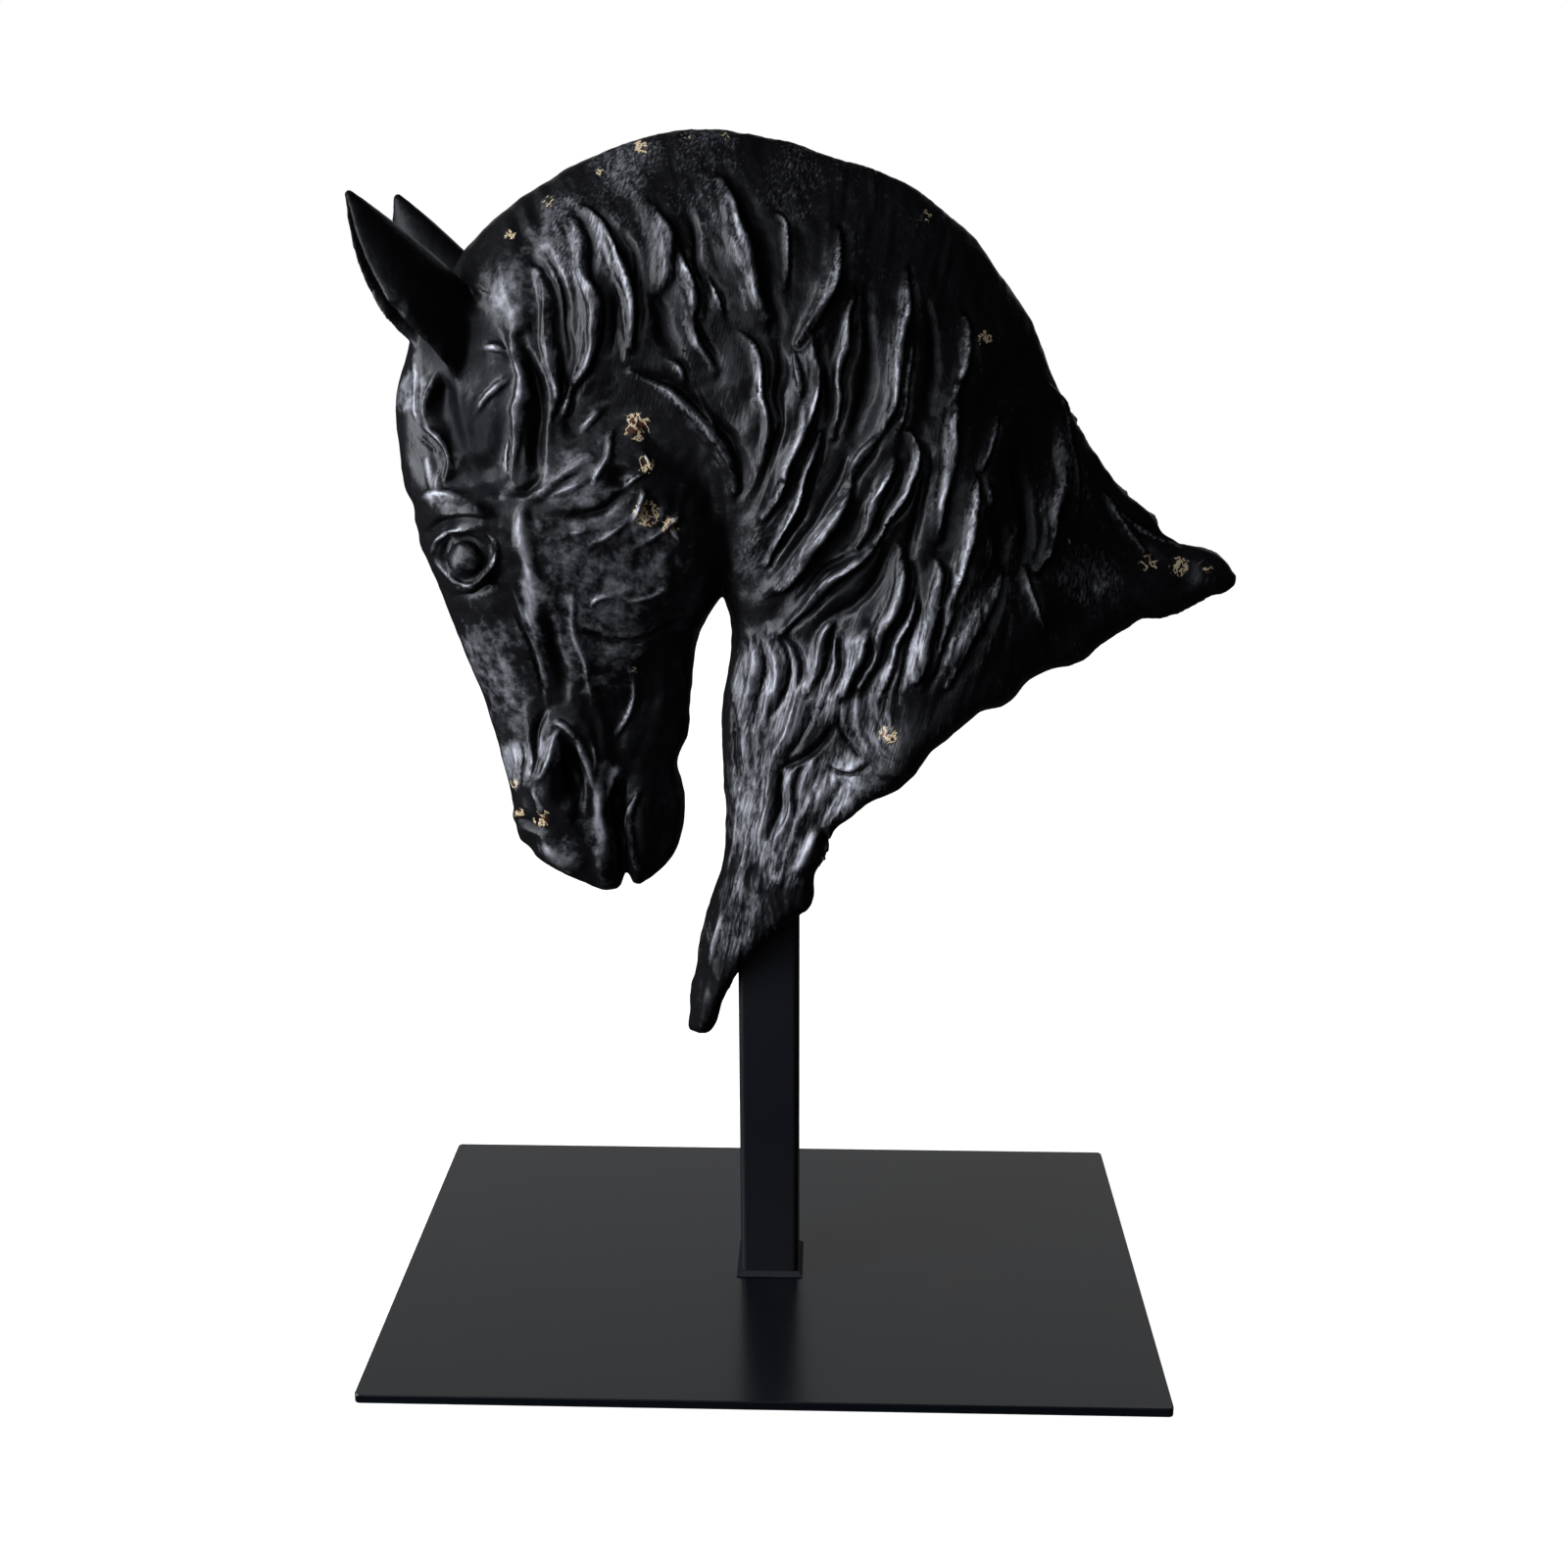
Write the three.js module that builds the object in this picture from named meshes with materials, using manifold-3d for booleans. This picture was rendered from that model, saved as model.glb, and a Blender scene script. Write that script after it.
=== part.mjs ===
// A cast horse head and neck, held up by a square steel post on a flat steel plate.
// Millimetres, +Z up. The origin is the middle of the plate's underside. The horse looks
// along -X, and its middle plane is y = 0. Its near side faces -Y.
import * as THREE from "three";
import { mergeVertices } from "three/addons/utils/BufferGeometryUtils.js";
import Module from "manifold-3d";

const wasm = await Module();
wasm.setup();

// Driving dimensions of the stand.
const plateWidth = 320;
const plateDepth = 200;
const plateThickness = 4;
const plateCornerRadius = 1.5;
const plateEdgeBevel = 0.4;
const postSide = 25;
const postWall = 2;
const postCornerRadius = 2.5;
const weldLeg = 1.8;
const jointGap = 0.3;

// Driving dimensions of the casting.
const bustHeight = 360;
const bustLift = 115.5;
const socketTop = 218;
const socketClearance = 0.4;

// The casting is drawn in hundredths of its own height: x from the post's axis, y from the
// middle plane and z from its lowest tip.
const share = bustHeight / 100;

// Rings of the two lofts, and points up each side of a ring.
const headRingsPerSpan = 2;
const headPointsPerSide = 18;
const neckRingsPerSpan = 4;
const neckPointsPerSide = 15;
const muzzleRings = 5;

// Sections of the head from the lips to the poll. jaw and face are the two ends of each
// section in the middle plane, and widths are half widths at equal steps from jaw to face.
const headSections = [
  { jaw: [-10.0, 25.4], face: [-28.6, 25.9], widths: [3.6, 5.0, 5.6, 6.2, 5.2] },
  { jaw: [-9.7, 29.2], face: [-29.0, 29.6], widths: [4.0, 5.2, 5.8, 6.5, 5.4] },
  { jaw: [-10.5, 32.6], face: [-29.7, 33.0], widths: [4.0, 5.0, 5.8, 6.4, 5.2] },
  { jaw: [-9.4, 36.0], face: [-30.5, 36.4], widths: [4.2, 5.2, 5.8, 6.0, 4.6] },
  { jaw: [-8.6, 41.2], face: [-31.8, 41.2], widths: [4.6, 5.8, 6.2, 5.8, 4.2] },
  { jaw: [-8.1, 46.2], face: [-33.7, 46.2], widths: [5.6, 6.9, 7.2, 6.4, 4.4] },
  { jaw: [-6.3, 50.4], face: [-35.3, 51.3], widths: [7.0, 8.2, 8.6, 7.8, 5.2] },
  { jaw: [-3.4, 54.6], face: [-36.7, 55.4], widths: [8.0, 9.2, 9.8, 9.6, 6.4] },
  { jaw: [-2.2, 59.2], face: [-37.9, 59.8], widths: [8.4, 9.6, 10.4, 10.6, 7.2] },
  { jaw: [-2.2, 64.8], face: [-39.0, 64.4], widths: [8.2, 9.6, 10.4, 10.6, 7.2] },
  { jaw: [-3.3, 69.7], face: [-39.2, 69.0], widths: [7.6, 9.2, 9.8, 9.6, 6.6] },
  { jaw: [-6.2, 73.9], face: [-39.3, 73.2], widths: [6.8, 8.6, 9.2, 8.6, 6.0] },
  { jaw: [-11.5, 77.4], face: [-37.9, 77.0], widths: [5.6, 7.4, 8.4, 8.0, 5.6] },
  { jaw: [-16.0, 80.0], face: [-36.8, 80.6], widths: [4.0, 6.2, 7.4, 7.4, 5.2] },
  { jaw: [-20.0, 82.0], face: [-35.0, 83.8], widths: [3.0, 5.0, 6.2, 6.4, 4.6] },
  { jaw: [-23.5, 83.4], face: [-32.8, 86.0], widths: [0, 0, 0, 0, 0] },
];

// Sections of the neck from inside the head to the cut below the shoulder. throat and
// crest are the ends in the middle plane. bow bends the section between them, up and
// forward where positive, and cut is how much of the torn edge's shape it takes on.
const neckSections = [
  { throat: [-27.0, 78.0], crest: [-32.6, 86.0], widths: [0, 0, 0, 0, 0], bow: 0, cut: 0 },
  { throat: [-25.4, 73.0], crest: [-30.9, 88.4], widths: [5.4, 6.6, 6.6, 6.0, 4.4], bow: 0, cut: 0 },
  { throat: [-22.0, 70.0], crest: [-26.2, 92.4], widths: [6.8, 8.2, 8.0, 7.0, 4.6], bow: 0, cut: 0 },
  { throat: [-17.0, 68.0], crest: [-19.9, 96.2], widths: [7.6, 9.2, 8.8, 7.2, 4.4], bow: 0, cut: 0 },
  { throat: [-12.0, 64.0], crest: [-12.0, 99.1], widths: [7.8, 9.4, 9.2, 7.2, 4.2], bow: -0.5, cut: 0 },
  { throat: [-8.0, 60.0], crest: [-4.2, 99.8], widths: [7.6, 9.4, 9.4, 7.4, 4.2], bow: -1.4, cut: 0 },
  { throat: [-5.2, 55.2], crest: [4.8, 97.7], widths: [7.4, 9.4, 9.6, 7.6, 4.2], bow: -2.6, cut: 0 },
  { throat: [-4.6, 51.6], crest: [13.7, 94.9], widths: [7.0, 9.4, 10.0, 8.0, 4.2], bow: -3.8, cut: 0 },
  { throat: [-3.9, 49.4], crest: [20.0, 90.3], widths: [6.6, 9.4, 10.4, 8.4, 4.2], bow: -4.8, cut: 0 },
  { throat: [-4.0, 45.5], crest: [25.0, 84.5], widths: [6.2, 9.4, 10.8, 8.8, 4.2], bow: -5.6, cut: 0 },
  { throat: [-4.8, 41.0], crest: [28.6, 78.2], widths: [6.0, 9.4, 11.2, 9.2, 4.2], bow: -5.8, cut: 0 },
  { throat: [-5.1, 36.5], crest: [31.9, 72.0], widths: [5.9, 9.4, 11.6, 9.6, 4.2], bow: -5.4, cut: 0 },
  { throat: [-5.0, 31.4], crest: [35.3, 66.8], widths: [5.8, 9.4, 11.9, 9.8, 4.0], bow: -4.6, cut: 0.06 },
  { throat: [-4.9, 26.4], crest: [39.2, 62.2], widths: [5.8, 9.4, 12.2, 9.8, 3.8], bow: -3.4, cut: 0.2 },
  { throat: [-5.7, 20.6], crest: [42.8, 58.8], widths: [5.6, 9.4, 12.4, 9.6, 3.6], bow: -2.0, cut: 0.42 },
  { throat: [-8.4, 12.9], crest: [47.9, 57.0], widths: [4.8, 9.0, 12.6, 9.4, 3.4], bow: -0.9, cut: 0.72 },
  { throat: [-10.0, 0.9], crest: [50.2, 54.4], widths: [3.4, 8.6, 12.6, 9.0, 3.0], bow: 0, cut: 1 },
];

// The torn edge: fractions of the cut from chest to withers, and how far the edge rises
// above a straight line there.
const cutProfile = [
  [0, -1.1],
  [0.03, -1.8],
  [0.07, -0.3],
  [0.12, 1.6],
  [0.19, 2.8],
  [0.27, 3.0],
  [0.3, 5.0],
  [0.36, 8.7],
  [0.45, 9.0],
  [0.55, 8.8],
  [0.64, 8.4],
  [0.73, 6.8],
  [0.81, 4.3],
  [0.88, 2.9],
  [0.93, 0.9],
  [0.97, -0.4],
  [1, -0.6],
];
const cutHollow = 2.4;
const cutRows = 4;

// A list of numbers, rounded through its values, at a fraction of its length.
function sample(list, fraction) {
  const at = THREE.MathUtils.clamp(fraction, 0, 1) * (list.length - 1);
  const i = Math.min(Math.floor(at), list.length - 2);
  const t = at - i;
  const [a, b] = [list[i], list[i + 1]];
  const before = list[i - 1] ?? 2 * a - b;
  const after = list[i + 2] ?? 2 * b - a;
  const slopeA = (b - before) / 2;
  const slopeB = (after - a) / 2;
  return (
    a * (2 * t ** 3 - 3 * t ** 2 + 1) +
    slopeA * (t ** 3 - 2 * t ** 2 + t) +
    b * (3 * t ** 2 - 2 * t ** 3) +
    slopeB * (t ** 3 - t ** 2)
  );
}

// One section between two listed ones, with every number of it interpolated.
function sectionAt(sections, inner, outer, fraction) {
  const pick = (get) => sample(sections.map(get), fraction);
  return {
    inner: [pick((s) => s[inner][0]), pick((s) => s[inner][1])],
    outer: [pick((s) => s[outer][0]), pick((s) => s[outer][1])],
    widths: sections[0].widths.map((_, k) => Math.max(0, pick((s) => s.widths[k]))),
    bow: pick((s) => s.bow ?? 0),
    cut: pick((s) => s.cut ?? 0),
  };
}

// Fractions up a section, closer together at both ends, where it turns round.
const endCrowding = 0.72;
function stations(count) {
  return Array.from({ length: count + 1 }, (_, j) => {
    const t = j / count;
    return THREE.MathUtils.lerp(t, (1 - Math.cos(Math.PI * t)) / 2, endCrowding);
  });
}

// Height of the torn edge above a straight cut at a fraction of it.
function cutRise(s) {
  const i = Math.min(cutProfile.findLastIndex(([at]) => at <= s), cutProfile.length - 2);
  const [[a, low], [b, high]] = [cutProfile[i], cutProfile[i + 1]];
  return THREE.MathUtils.mapLinear(s, a, b, low, high);
}

// 1 in the middle of a section and 0 at its ends, rounder for a lower power.
function roundOff(s, innerPower, outerPower) {
  const power = s < 0.5 ? innerPower : outerPower;
  return Math.max(0, 1 - Math.abs(2 * s - 1) ** power) ** (1 / power);
}

// A smooth hill of height 1 over an ellipse.
function hill(x, z, [cx, cz], [rx, rz], flat = 0) {
  const d = Math.hypot((x - cx) / rx, (z - cz) / rz);
  return 1 - THREE.MathUtils.smoothstep(d, flat, 1);
}

// A carved stroke: a quadratic curve from start to end, drawn towards bend. It is shallower
// towards its ends, where it keeps the share of its height that it has at taperFrom.
const strokeSteps = 12;
const taperFrom = 0.06;
const taperPower = 0.5;
function stroke(start, bend, end, width, height) {
  const curve = new THREE.QuadraticBezierCurve(
    new THREE.Vector2(...start),
    new THREE.Vector2(...bend),
    new THREE.Vector2(...end),
  );
  return { points: curve.getPoints(strokeSteps), width, height };
}

// Height of a stroke above the surface at a place, tapered to nothing at both ends.
function strokeHeight(mark, x, z) {
  const here = new THREE.Vector2(x, z);
  let best = Infinity;
  let along = 0;
  mark.points.slice(1).forEach((b, i) => {
    const a = mark.points[i];
    const edge = b.clone().sub(a);
    const t = THREE.MathUtils.clamp(here.clone().sub(a).dot(edge) / edge.lengthSq(), 0, 1);
    const gap = here.distanceTo(a.clone().addScaledVector(edge, t));
    if (gap < best) {
      best = gap;
      along = (i + t) / (mark.points.length - 1);
    }
  });
  const inside = THREE.MathUtils.clamp(along, taperFrom, 1 - taperFrom);
  const taper = Math.sin(Math.PI * inside) ** taperPower;
  return mark.height * taper * (1 - THREE.MathUtils.smoothstep(best, 0, mark.width));
}

// Bones and hollows of the head, as strokes.
const headStrokes = [
  stroke([-24.5, 81], [-20.6, 72], [-23.6, 62.5], 2.2, 0.9), // temple ridge
  stroke([-24.6, 60], [-22.6, 51], [-20.6, 42], 2.6, 1.1), // facial crest
  stroke([-37.4, 78], [-38.4, 70], [-36.4, 62.5], 2.6, 0.9), // forelock
  stroke([-36.6, 61.4], [-30.5, 64.2], [-25.2, 60.6], 1.9, 1.0), // brow
  stroke([-16.1, 35.0], [-16.6, 27], [-15.7, 17.5], 1.5, -2.1), // mouth
  stroke([-33.6, 55], [-29.8, 47], [-26.6, 39], 2.2, 0.5), // edge of the nose bone
];

// Locks of the mane and folds of the neck, from the poll back to the withers.
const neckStrokes = [
  stroke([-26.5, 90], [-24.6, 80], [-21.6, 71.5], 2.0, 1.5),
  stroke([-21.5, 91], [-18.6, 83], [-20.4, 74.5], 1.9, 1.3),
  stroke([-19.5, 92], [-15.0, 85], [-18.6, 72.0], 1.9, 1.5),
  stroke([-17.0, 91.5], [-11.5, 84.5], [-13.0, 77.5], 2.0, 1.4),
  stroke([-12.0, 93.5], [-8.0, 86], [-5.5, 80.0], 2.2, 1.2),
  stroke([-5.6, 93.8], [-1.4, 88], [0.8, 81.5], 2.4, 1.3),
  stroke([-2.6, 77.5], [0.6, 70], [-0.6, 62.5], 2.0, 1.1),
  stroke([8.0, 91], [5.6, 79], [-0.4, 60], 2.2, 1.7),
  stroke([9.4, 81], [8.2, 75], [7.4, 69.2], 2.0, 1.0),
  stroke([15.4, 84], [13.6, 74], [12.6, 70], 2.2, 1.3),
  stroke([12.4, 70], [5.8, 59], [-0.8, 52], 2.4, 1.7),
  stroke([14.6, 69], [10.8, 56], [1.8, 50], 2.2, 1.5),
  stroke([20.6, 79], [18.0, 68], [16.6, 56.6], 2.2, 1.3),
  stroke([24.4, 70.5], [19.8, 56], [14.4, 42.4], 2.4, 1.7),
  stroke([30.4, 69], [30.4, 60], [27.6, 50], 2.6, 1.5),
  stroke([22.6, 54.6], [19.8, 49], [17.6, 45.2], 2.4, 1.2),
  stroke([14.6, 56.6], [13.4, 50], [10.4, 44.4], 2.4, 1.3),
  stroke([11.0, 54.6], [8.6, 47], [6.4, 40.6], 2.2, 1.2),
  stroke([0.6, 48], [1.2, 36], [-1.6, 20], 2.4, 0.9),
  stroke([4.8, 38], [2.6, 28], [0.8, 18], 2.2, 1.0),
];

// Half width added to the head's plain sections, in shares.
function headRelief(x, z) {
  const forms =
    1.3 * hill(x, z, [-13.6, 58.8], [12.2, 13.4], 0.62) + // cheek
    1.5 * hill(x, z, [-30.2, 58.6], [7.2, 7.4], 0.3) - // eye socket's rim
    1.2 * hill(x, z, [-30.6, 68.6], [5.2, 7.2]) - // hollow above the eye
    1.3 * hill(x, z, [-14.4, 41.6], [6.6, 6.0]) - // behind the mouth
    0.7 * hill(x, z, [-22.0, 43.6], [4.6, 5.2]) + // hollow above the nostril
    1.0 * hill(x, z, [-22.6, 33.6], [5.6, 8.0], 0.2) + // nostril's flare
    0.9 * hill(x, z, [-11.8, 27.6], [4.2, 5.6]); // chin
  return headStrokes.reduce((sum, mark) => sum + strokeHeight(mark, x, z), forms);
}

// Half width added to the neck's plain sections. The far side is carved more quietly.
const farSideShare = 0.6;
const farSideShift = [2.4, -1.6];
function neckRelief(x, z, side) {
  const strength = side < 0 ? 1 : farSideShare;
  const [dx, dz] = side < 0 ? [0, 0] : farSideShift;
  const marks = neckStrokes.reduce((sum, mark) => sum + strokeHeight(mark, x - dx, z - dz), 0);
  const throatGroove = -1.0 * hill(x, z, [1.4, 44], [4.4, 18]);
  return strength * marks + throatGroove;
}

// One ring of points round a section: up the near side and back down the far side.
const thinnestHalf = 0.2;
function ringOf(section, fractions, powers, relief, bowAt, fullness = 1) {
  const along = [section.outer[0] - section.inner[0], section.outer[1] - section.inner[1]];
  const length = Math.hypot(...along);
  const normal = [-along[1] / length, along[0] / length];
  const pointAt = (s, side) => {
    const bow = bowAt(s);
    const x = section.inner[0] + along[0] * s + normal[0] * bow;
    const z = section.inner[1] + along[1] * s + normal[1] * bow;
    const end = roundOff(s, ...powers);
    const plain = sample(section.widths, s);
    const half = plain > 0 ? Math.max(thinnestHalf, plain + relief(x, z, side)) : 0;
    return new THREE.Vector3(x, side * half * end * fullness, z).multiplyScalar(share);
  };
  const near = fractions.map((s) => pointAt(s, -1));
  const far = fractions.slice(1, -1).map((s) => pointAt(s, 1));
  return [...near, ...far.reverse()];
}

// The solid between rings of equal length. An open end is closed by rows of points that
// run from one side to the other and are pushed into the solid by hollow.
const hollowPower = 0.6;
function loft(rings, hollow = 0) {
  const count = rings[0].length;
  const points = rings.flat();
  const faces = [];
  const quad = (a, b, c, d) => faces.push([a, b, c], [a, c, d]);
  rings.slice(1).forEach((_, i) => {
    for (let j = 0; j < count; j += 1) {
      const k = (j + 1) % count;
      quad(i * count + j, i * count + k, (i + 1) * count + k, (i + 1) * count + j);
    }
  });
  const last = rings.length - 1;
  const side = count / 2;
  const rows = Array.from({ length: side + 1 }, (_, j) => {
    const near = rings[last][j];
    const far = rings[last][(count - j) % count];
    const inward = rings[last - 1][j].clone().sub(near).setY(0).normalize();
    return Array.from({ length: cutRows + 1 }, (_, r) => {
      if (r === 0 || j === 0 || j === side) return last * count + j;
      if (r === cutRows) return last * count + ((count - j) % count);
      const t = r / cutRows;
      const fade = Math.sin((Math.PI * j) / side) ** hollowPower;
      const depth = hollow * share * 4 * t * (1 - t) * fade;
      points.push(near.clone().lerp(far, t).addScaledVector(inward, depth));
      return points.length - 1;
    });
  });
  rows.slice(1).forEach((row, j) => {
    for (let r = 0; r < cutRows; r += 1) quad(rows[j][r], row[r], row[r + 1], rows[j][r + 1]);
  });
  return solidFrom(points, faces.flat());
}

// A solid from points and triangle corners. Points that meet become one.
function solidFrom(points, corners) {
  const geometry = new THREE.BufferGeometry().setFromPoints(points);
  geometry.setIndex(corners);
  return solidOf(geometry);
}

function solidOf(geometry) {
  const plain = geometry.clone();
  plain.deleteAttribute("normal");
  plain.deleteAttribute("uv");
  const merged = mergeVertices(plain, 1e-3);
  const corners = [];
  for (let i = 0; i < merged.index.count; i += 3) {
    const [a, b, c] = [0, 1, 2].map((k) => merged.index.getX(i + k));
    if (a !== b && b !== c && c !== a) corners.push(a, b, c);
  }
  const make = (list) =>
    new wasm.Manifold(
      new wasm.Mesh({
        numProp: 3,
        vertProperties: merged.attributes.position.array,
        triVerts: new Uint32Array(list),
      }),
    );
  const solid = make(corners);
  if (solid.volume() > 0) return solid;
  const turned = corners.map((_, i) => corners[i - (i % 3) + [0, 2, 1][i % 3]]);
  return make(turned);
}

function geometryOf(solid) {
  const mesh = solid.getMesh();
  const positions = new Float32Array(mesh.numVert * 3);
  for (let i = 0; i < mesh.numVert; i += 1) {
    positions.set(mesh.vertProperties.subarray(i * mesh.numProp, i * mesh.numProp + 3), i * 3);
  }
  const geometry = new THREE.BufferGeometry();
  geometry.setAttribute("position", new THREE.BufferAttribute(positions, 3));
  geometry.setIndex(new THREE.BufferAttribute(mesh.triVerts, 1));
  geometry.computeVertexNormals();
  return geometry;
}

// The head: a loft from the poll down to the lips, with a rounded muzzle below it.
const muzzleDrop = [7.6, 8.1, 8.3, 6.9, 5.9, 5.8];
const mouthNotch = { at: 0.344, width: 0.05, depth: 1.7 };
const headPowers = [3.2, 2.7];
function headSolid() {
  const spans = (headSections.length - 1) * headRingsPerSpan;
  const fractions = stations(headPointsPerSide);
  const rings = [];
  for (let i = spans; i >= 0; i -= 1) {
    const section = sectionAt(headSections, "jaw", "face", i / spans);
    rings.push(ringOf(section, fractions, headPowers, headRelief, () => 0));
  }
  const lips = sectionAt(headSections, "jaw", "face", 0);
  for (let k = 1; k <= muzzleRings; k += 1) {
    const angle = (Math.PI / 2) * (k / muzzleRings);
    const drop = (s) => {
      const gap = (s - mouthNotch.at) / mouthNotch.width;
      const notch = mouthNotch.depth * Math.exp(-gap * gap);
      return Math.sin(angle) * (sample(muzzleDrop, s) * roundOff(s, 2, 2) - notch);
    };
    rings.push(ringOf(lips, fractions, headPowers, headRelief, drop, Math.cos(angle)));
  }
  return loft(rings);
}

// The neck: a loft from inside the head down to the torn cut. Its front is round at the
// throat and blunt at the chest.
const throatPower = 2.6;
const chestPower = 5;
const bluntFrom = 0.7;
const crestPower = 1.9;
const bowPeak = 1.3;
function neckSolid() {
  const spans = (neckSections.length - 1) * neckRingsPerSpan;
  const fractions = stations(neckPointsPerSide);
  const rings = Array.from({ length: spans + 1 }, (_, i) => {
    const section = sectionAt(neckSections, "throat", "crest", i / spans);
    const blunt = Math.min(1, i / spans / bluntFrom);
    const front = THREE.MathUtils.lerp(throatPower, chestPower, blunt);
    const bowAt = (s) => section.bow * Math.sin(Math.PI * s ** bowPeak) + section.cut * cutRise(s);
    return ringOf(section, fractions, [front, crestPower], neckRelief, bowAt);
  });
  return loft(rings, cutHollow);
}

// The solid between rings of equal length, with both ends closed by fans.
function closedLoft(rings) {
  const count = rings[0].length;
  const corners = [];
  for (let i = 0; i < rings.length - 1; i += 1) {
    for (let j = 0; j < count; j += 1) {
      const k = (j + 1) % count;
      const [a, b] = [i * count, (i + 1) * count];
      corners.push(a + j, a + k, b + k, a + j, b + k, b + j);
    }
  }
  const top = (rings.length - 1) * count;
  for (let j = 1; j < count - 1; j += 1) corners.push(0, j + 1, j, top, top + j, top + j + 1);
  return solidFrom(rings.flat(), corners);
}

// An ear is a cup that tapers to its tip and is open along its front. From root to tip,
// wides are its half widths, and fronts and backs are its depths each side of the axis.
const ear = {
  root: [-28.6, 4.6, 75.0],
  tip: [-41.1, 7.6, 93.9],
  facing: [-1, 0.5, -0.6],
  wides: [0.9, 2.9, 3.7, 3.8, 3.2, 2.1, 0.4],
  fronts: [2.6, 3.0, 3.4, 3.9, 3.5, 2.3, 0.4],
  backs: [3.2, 4.3, 4.3, 3.8, 2.75, 1.6, 0.3],
};
const farEarBack = 1.2;
const earWall = 0.62;
const earRings = 11;
const earPointsPerSide = 6;
// The sides turn in towards the rims, by quarter turns. The power bends the cup's back.
const earCurl = 1.08;
const earBackPower = 1.6;
// Fractions of the ear's length between which its hollow deepens to the full.
const earHollow = [0.12, 0.42];
function earRing(t) {
  const [wide, front, back] = [ear.wides, ear.fronts, ear.backs].map((list) => sample(list, t));
  const outer = (s) => [
    wide * Math.sin((Math.PI / 2) * earCurl * s),
    (front + back) * Math.abs(s) ** earBackPower - back,
  ];
  const floor = THREE.MathUtils.lerp(front, earWall - back, THREE.MathUtils.smoothstep(t, ...earHollow));
  const inner = (s) => {
    const [across, ahead] = outer(s);
    const rise = (ahead + back) / (front + back);
    return [across * Math.max(0, 1 - earWall / wide), THREE.MathUtils.lerp(floor, front, rise)];
  };
  const count = 2 * earPointsPerSide + 1;
  const steps = Array.from({ length: count }, (_, i) => i / earPointsPerSide - 1);
  return [...steps.map(outer), ...steps.reverse().map(inner)];
}

function earSolid(side) {
  const shift = side > 0 ? farEarBack : 0;
  const at = ([x, y, z]) => new THREE.Vector3(x + shift, side * y, z);
  const root = at(ear.root);
  const axis = at(ear.tip).sub(root);
  const lengthwise = axis.clone().normalize();
  const facing = new THREE.Vector3(ear.facing[0], side * ear.facing[1], ear.facing[2]);
  const front = facing.projectOnPlane(lengthwise).normalize();
  const across = lengthwise.clone().cross(front);
  const rings = Array.from({ length: earRings + 1 }, (_, i) => {
    const t = i / earRings;
    const middle = root.clone().addScaledVector(axis, t);
    return earRing(t).map(([u, v]) =>
      middle.clone().addScaledVector(across, u).addScaledVector(front, v).multiplyScalar(share),
    );
  });
  return closedLoft(rings);
}

// The eyeball, and the lids round it: an almond loop, heavier along its top.
const eye = { at: [-30.2, 9.7, 57.5], facing: [-0.3, 1, 0.04], ball: 2.5, tilt: 0.12 };
const lids = { long: 3.4, high: 2.1, forward: 1.2, curve: 0.5, thick: 0.62, point: 0.3 };
const lidPoints = 16;
const lidFacets = [20, 6];
const ballFacets = [14, 10];
function eyeSolid(side) {
  const place = new THREE.Object3D();
  place.position.set(eye.at[0], side * eye.at[1], eye.at[2]);
  place.lookAt(eye.at[0] + eye.facing[0], side * (eye.at[1] + eye.facing[1]), eye.at[2] + eye.facing[2]);
  place.rotateZ(side * eye.tilt);
  place.updateMatrix();
  const loop = Array.from({ length: lidPoints }, (_, i) => {
    const angle = (i / lidPoints) * 2 * Math.PI;
    const pointed = 1 - lids.point * Math.cos(angle) ** 4;
    return new THREE.Vector3(
      lids.long * Math.cos(angle),
      lids.high * Math.sin(angle) * pointed,
      lids.forward - lids.curve * Math.cos(angle) ** 2,
    );
  });
  const path = new THREE.CatmullRomCurve3(loop, true);
  const set = (geometry) => solidOf(geometry.applyMatrix4(place.matrix).scale(share, share, share));
  const rim = set(new THREE.TubeGeometry(path, lidFacets[0], lids.thick, lidFacets[1], true));
  return set(new THREE.SphereGeometry(eye.ball, ...ballFacets)).add(rim);
}

// The nostril is an egg-shaped cut.
const nostril = { at: [-21.4, 8.0, 33.2], radii: [1.7, 3.0, 4.6], lean: 0.16 };
const nostrilFacets = [12, 10];
function nostrilSolid(side) {
  const egg = new THREE.SphereGeometry(share, ...nostrilFacets);
  egg.scale(...nostril.radii);
  egg.rotateY(nostril.lean);
  egg.translate(nostril.at[0] * share, side * nostril.at[1] * share, nostril.at[2] * share);
  return solidOf(egg);
}

// The whole casting, lifted to its height, with the post's socket cut up into it.
function horseGeometry() {
  let horse = headSolid().add(neckSolid());
  for (const side of [-1, 1]) {
    horse = horse.add(earSolid(side)).add(eyeSolid(side)).subtract(nostrilSolid(side));
  }
  const lifted = horse.translate([0, 0, bustLift]);
  const width = postSide + 2 * socketClearance;
  const socket = new THREE.BoxGeometry(width, width, socketTop);
  socket.translate(0, 0, socketTop / 2);
  return geometryOf(lifted.subtract(solidOf(socket)));
}

// A square outline with round corners.
function roundedSquare(width, depth, radius, Outline = THREE.Shape) {
  const outline = new Outline();
  const [x, y] = [width / 2, depth / 2];
  outline.moveTo(x - radius, -y);
  outline.absarc(x - radius, -y + radius, radius, -Math.PI / 2, 0);
  outline.absarc(x - radius, y - radius, radius, 0, Math.PI / 2);
  outline.absarc(-x + radius, y - radius, radius, Math.PI / 2, Math.PI);
  outline.absarc(-x + radius, -y + radius, radius, Math.PI, 1.5 * Math.PI);
  return outline;
}

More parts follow.
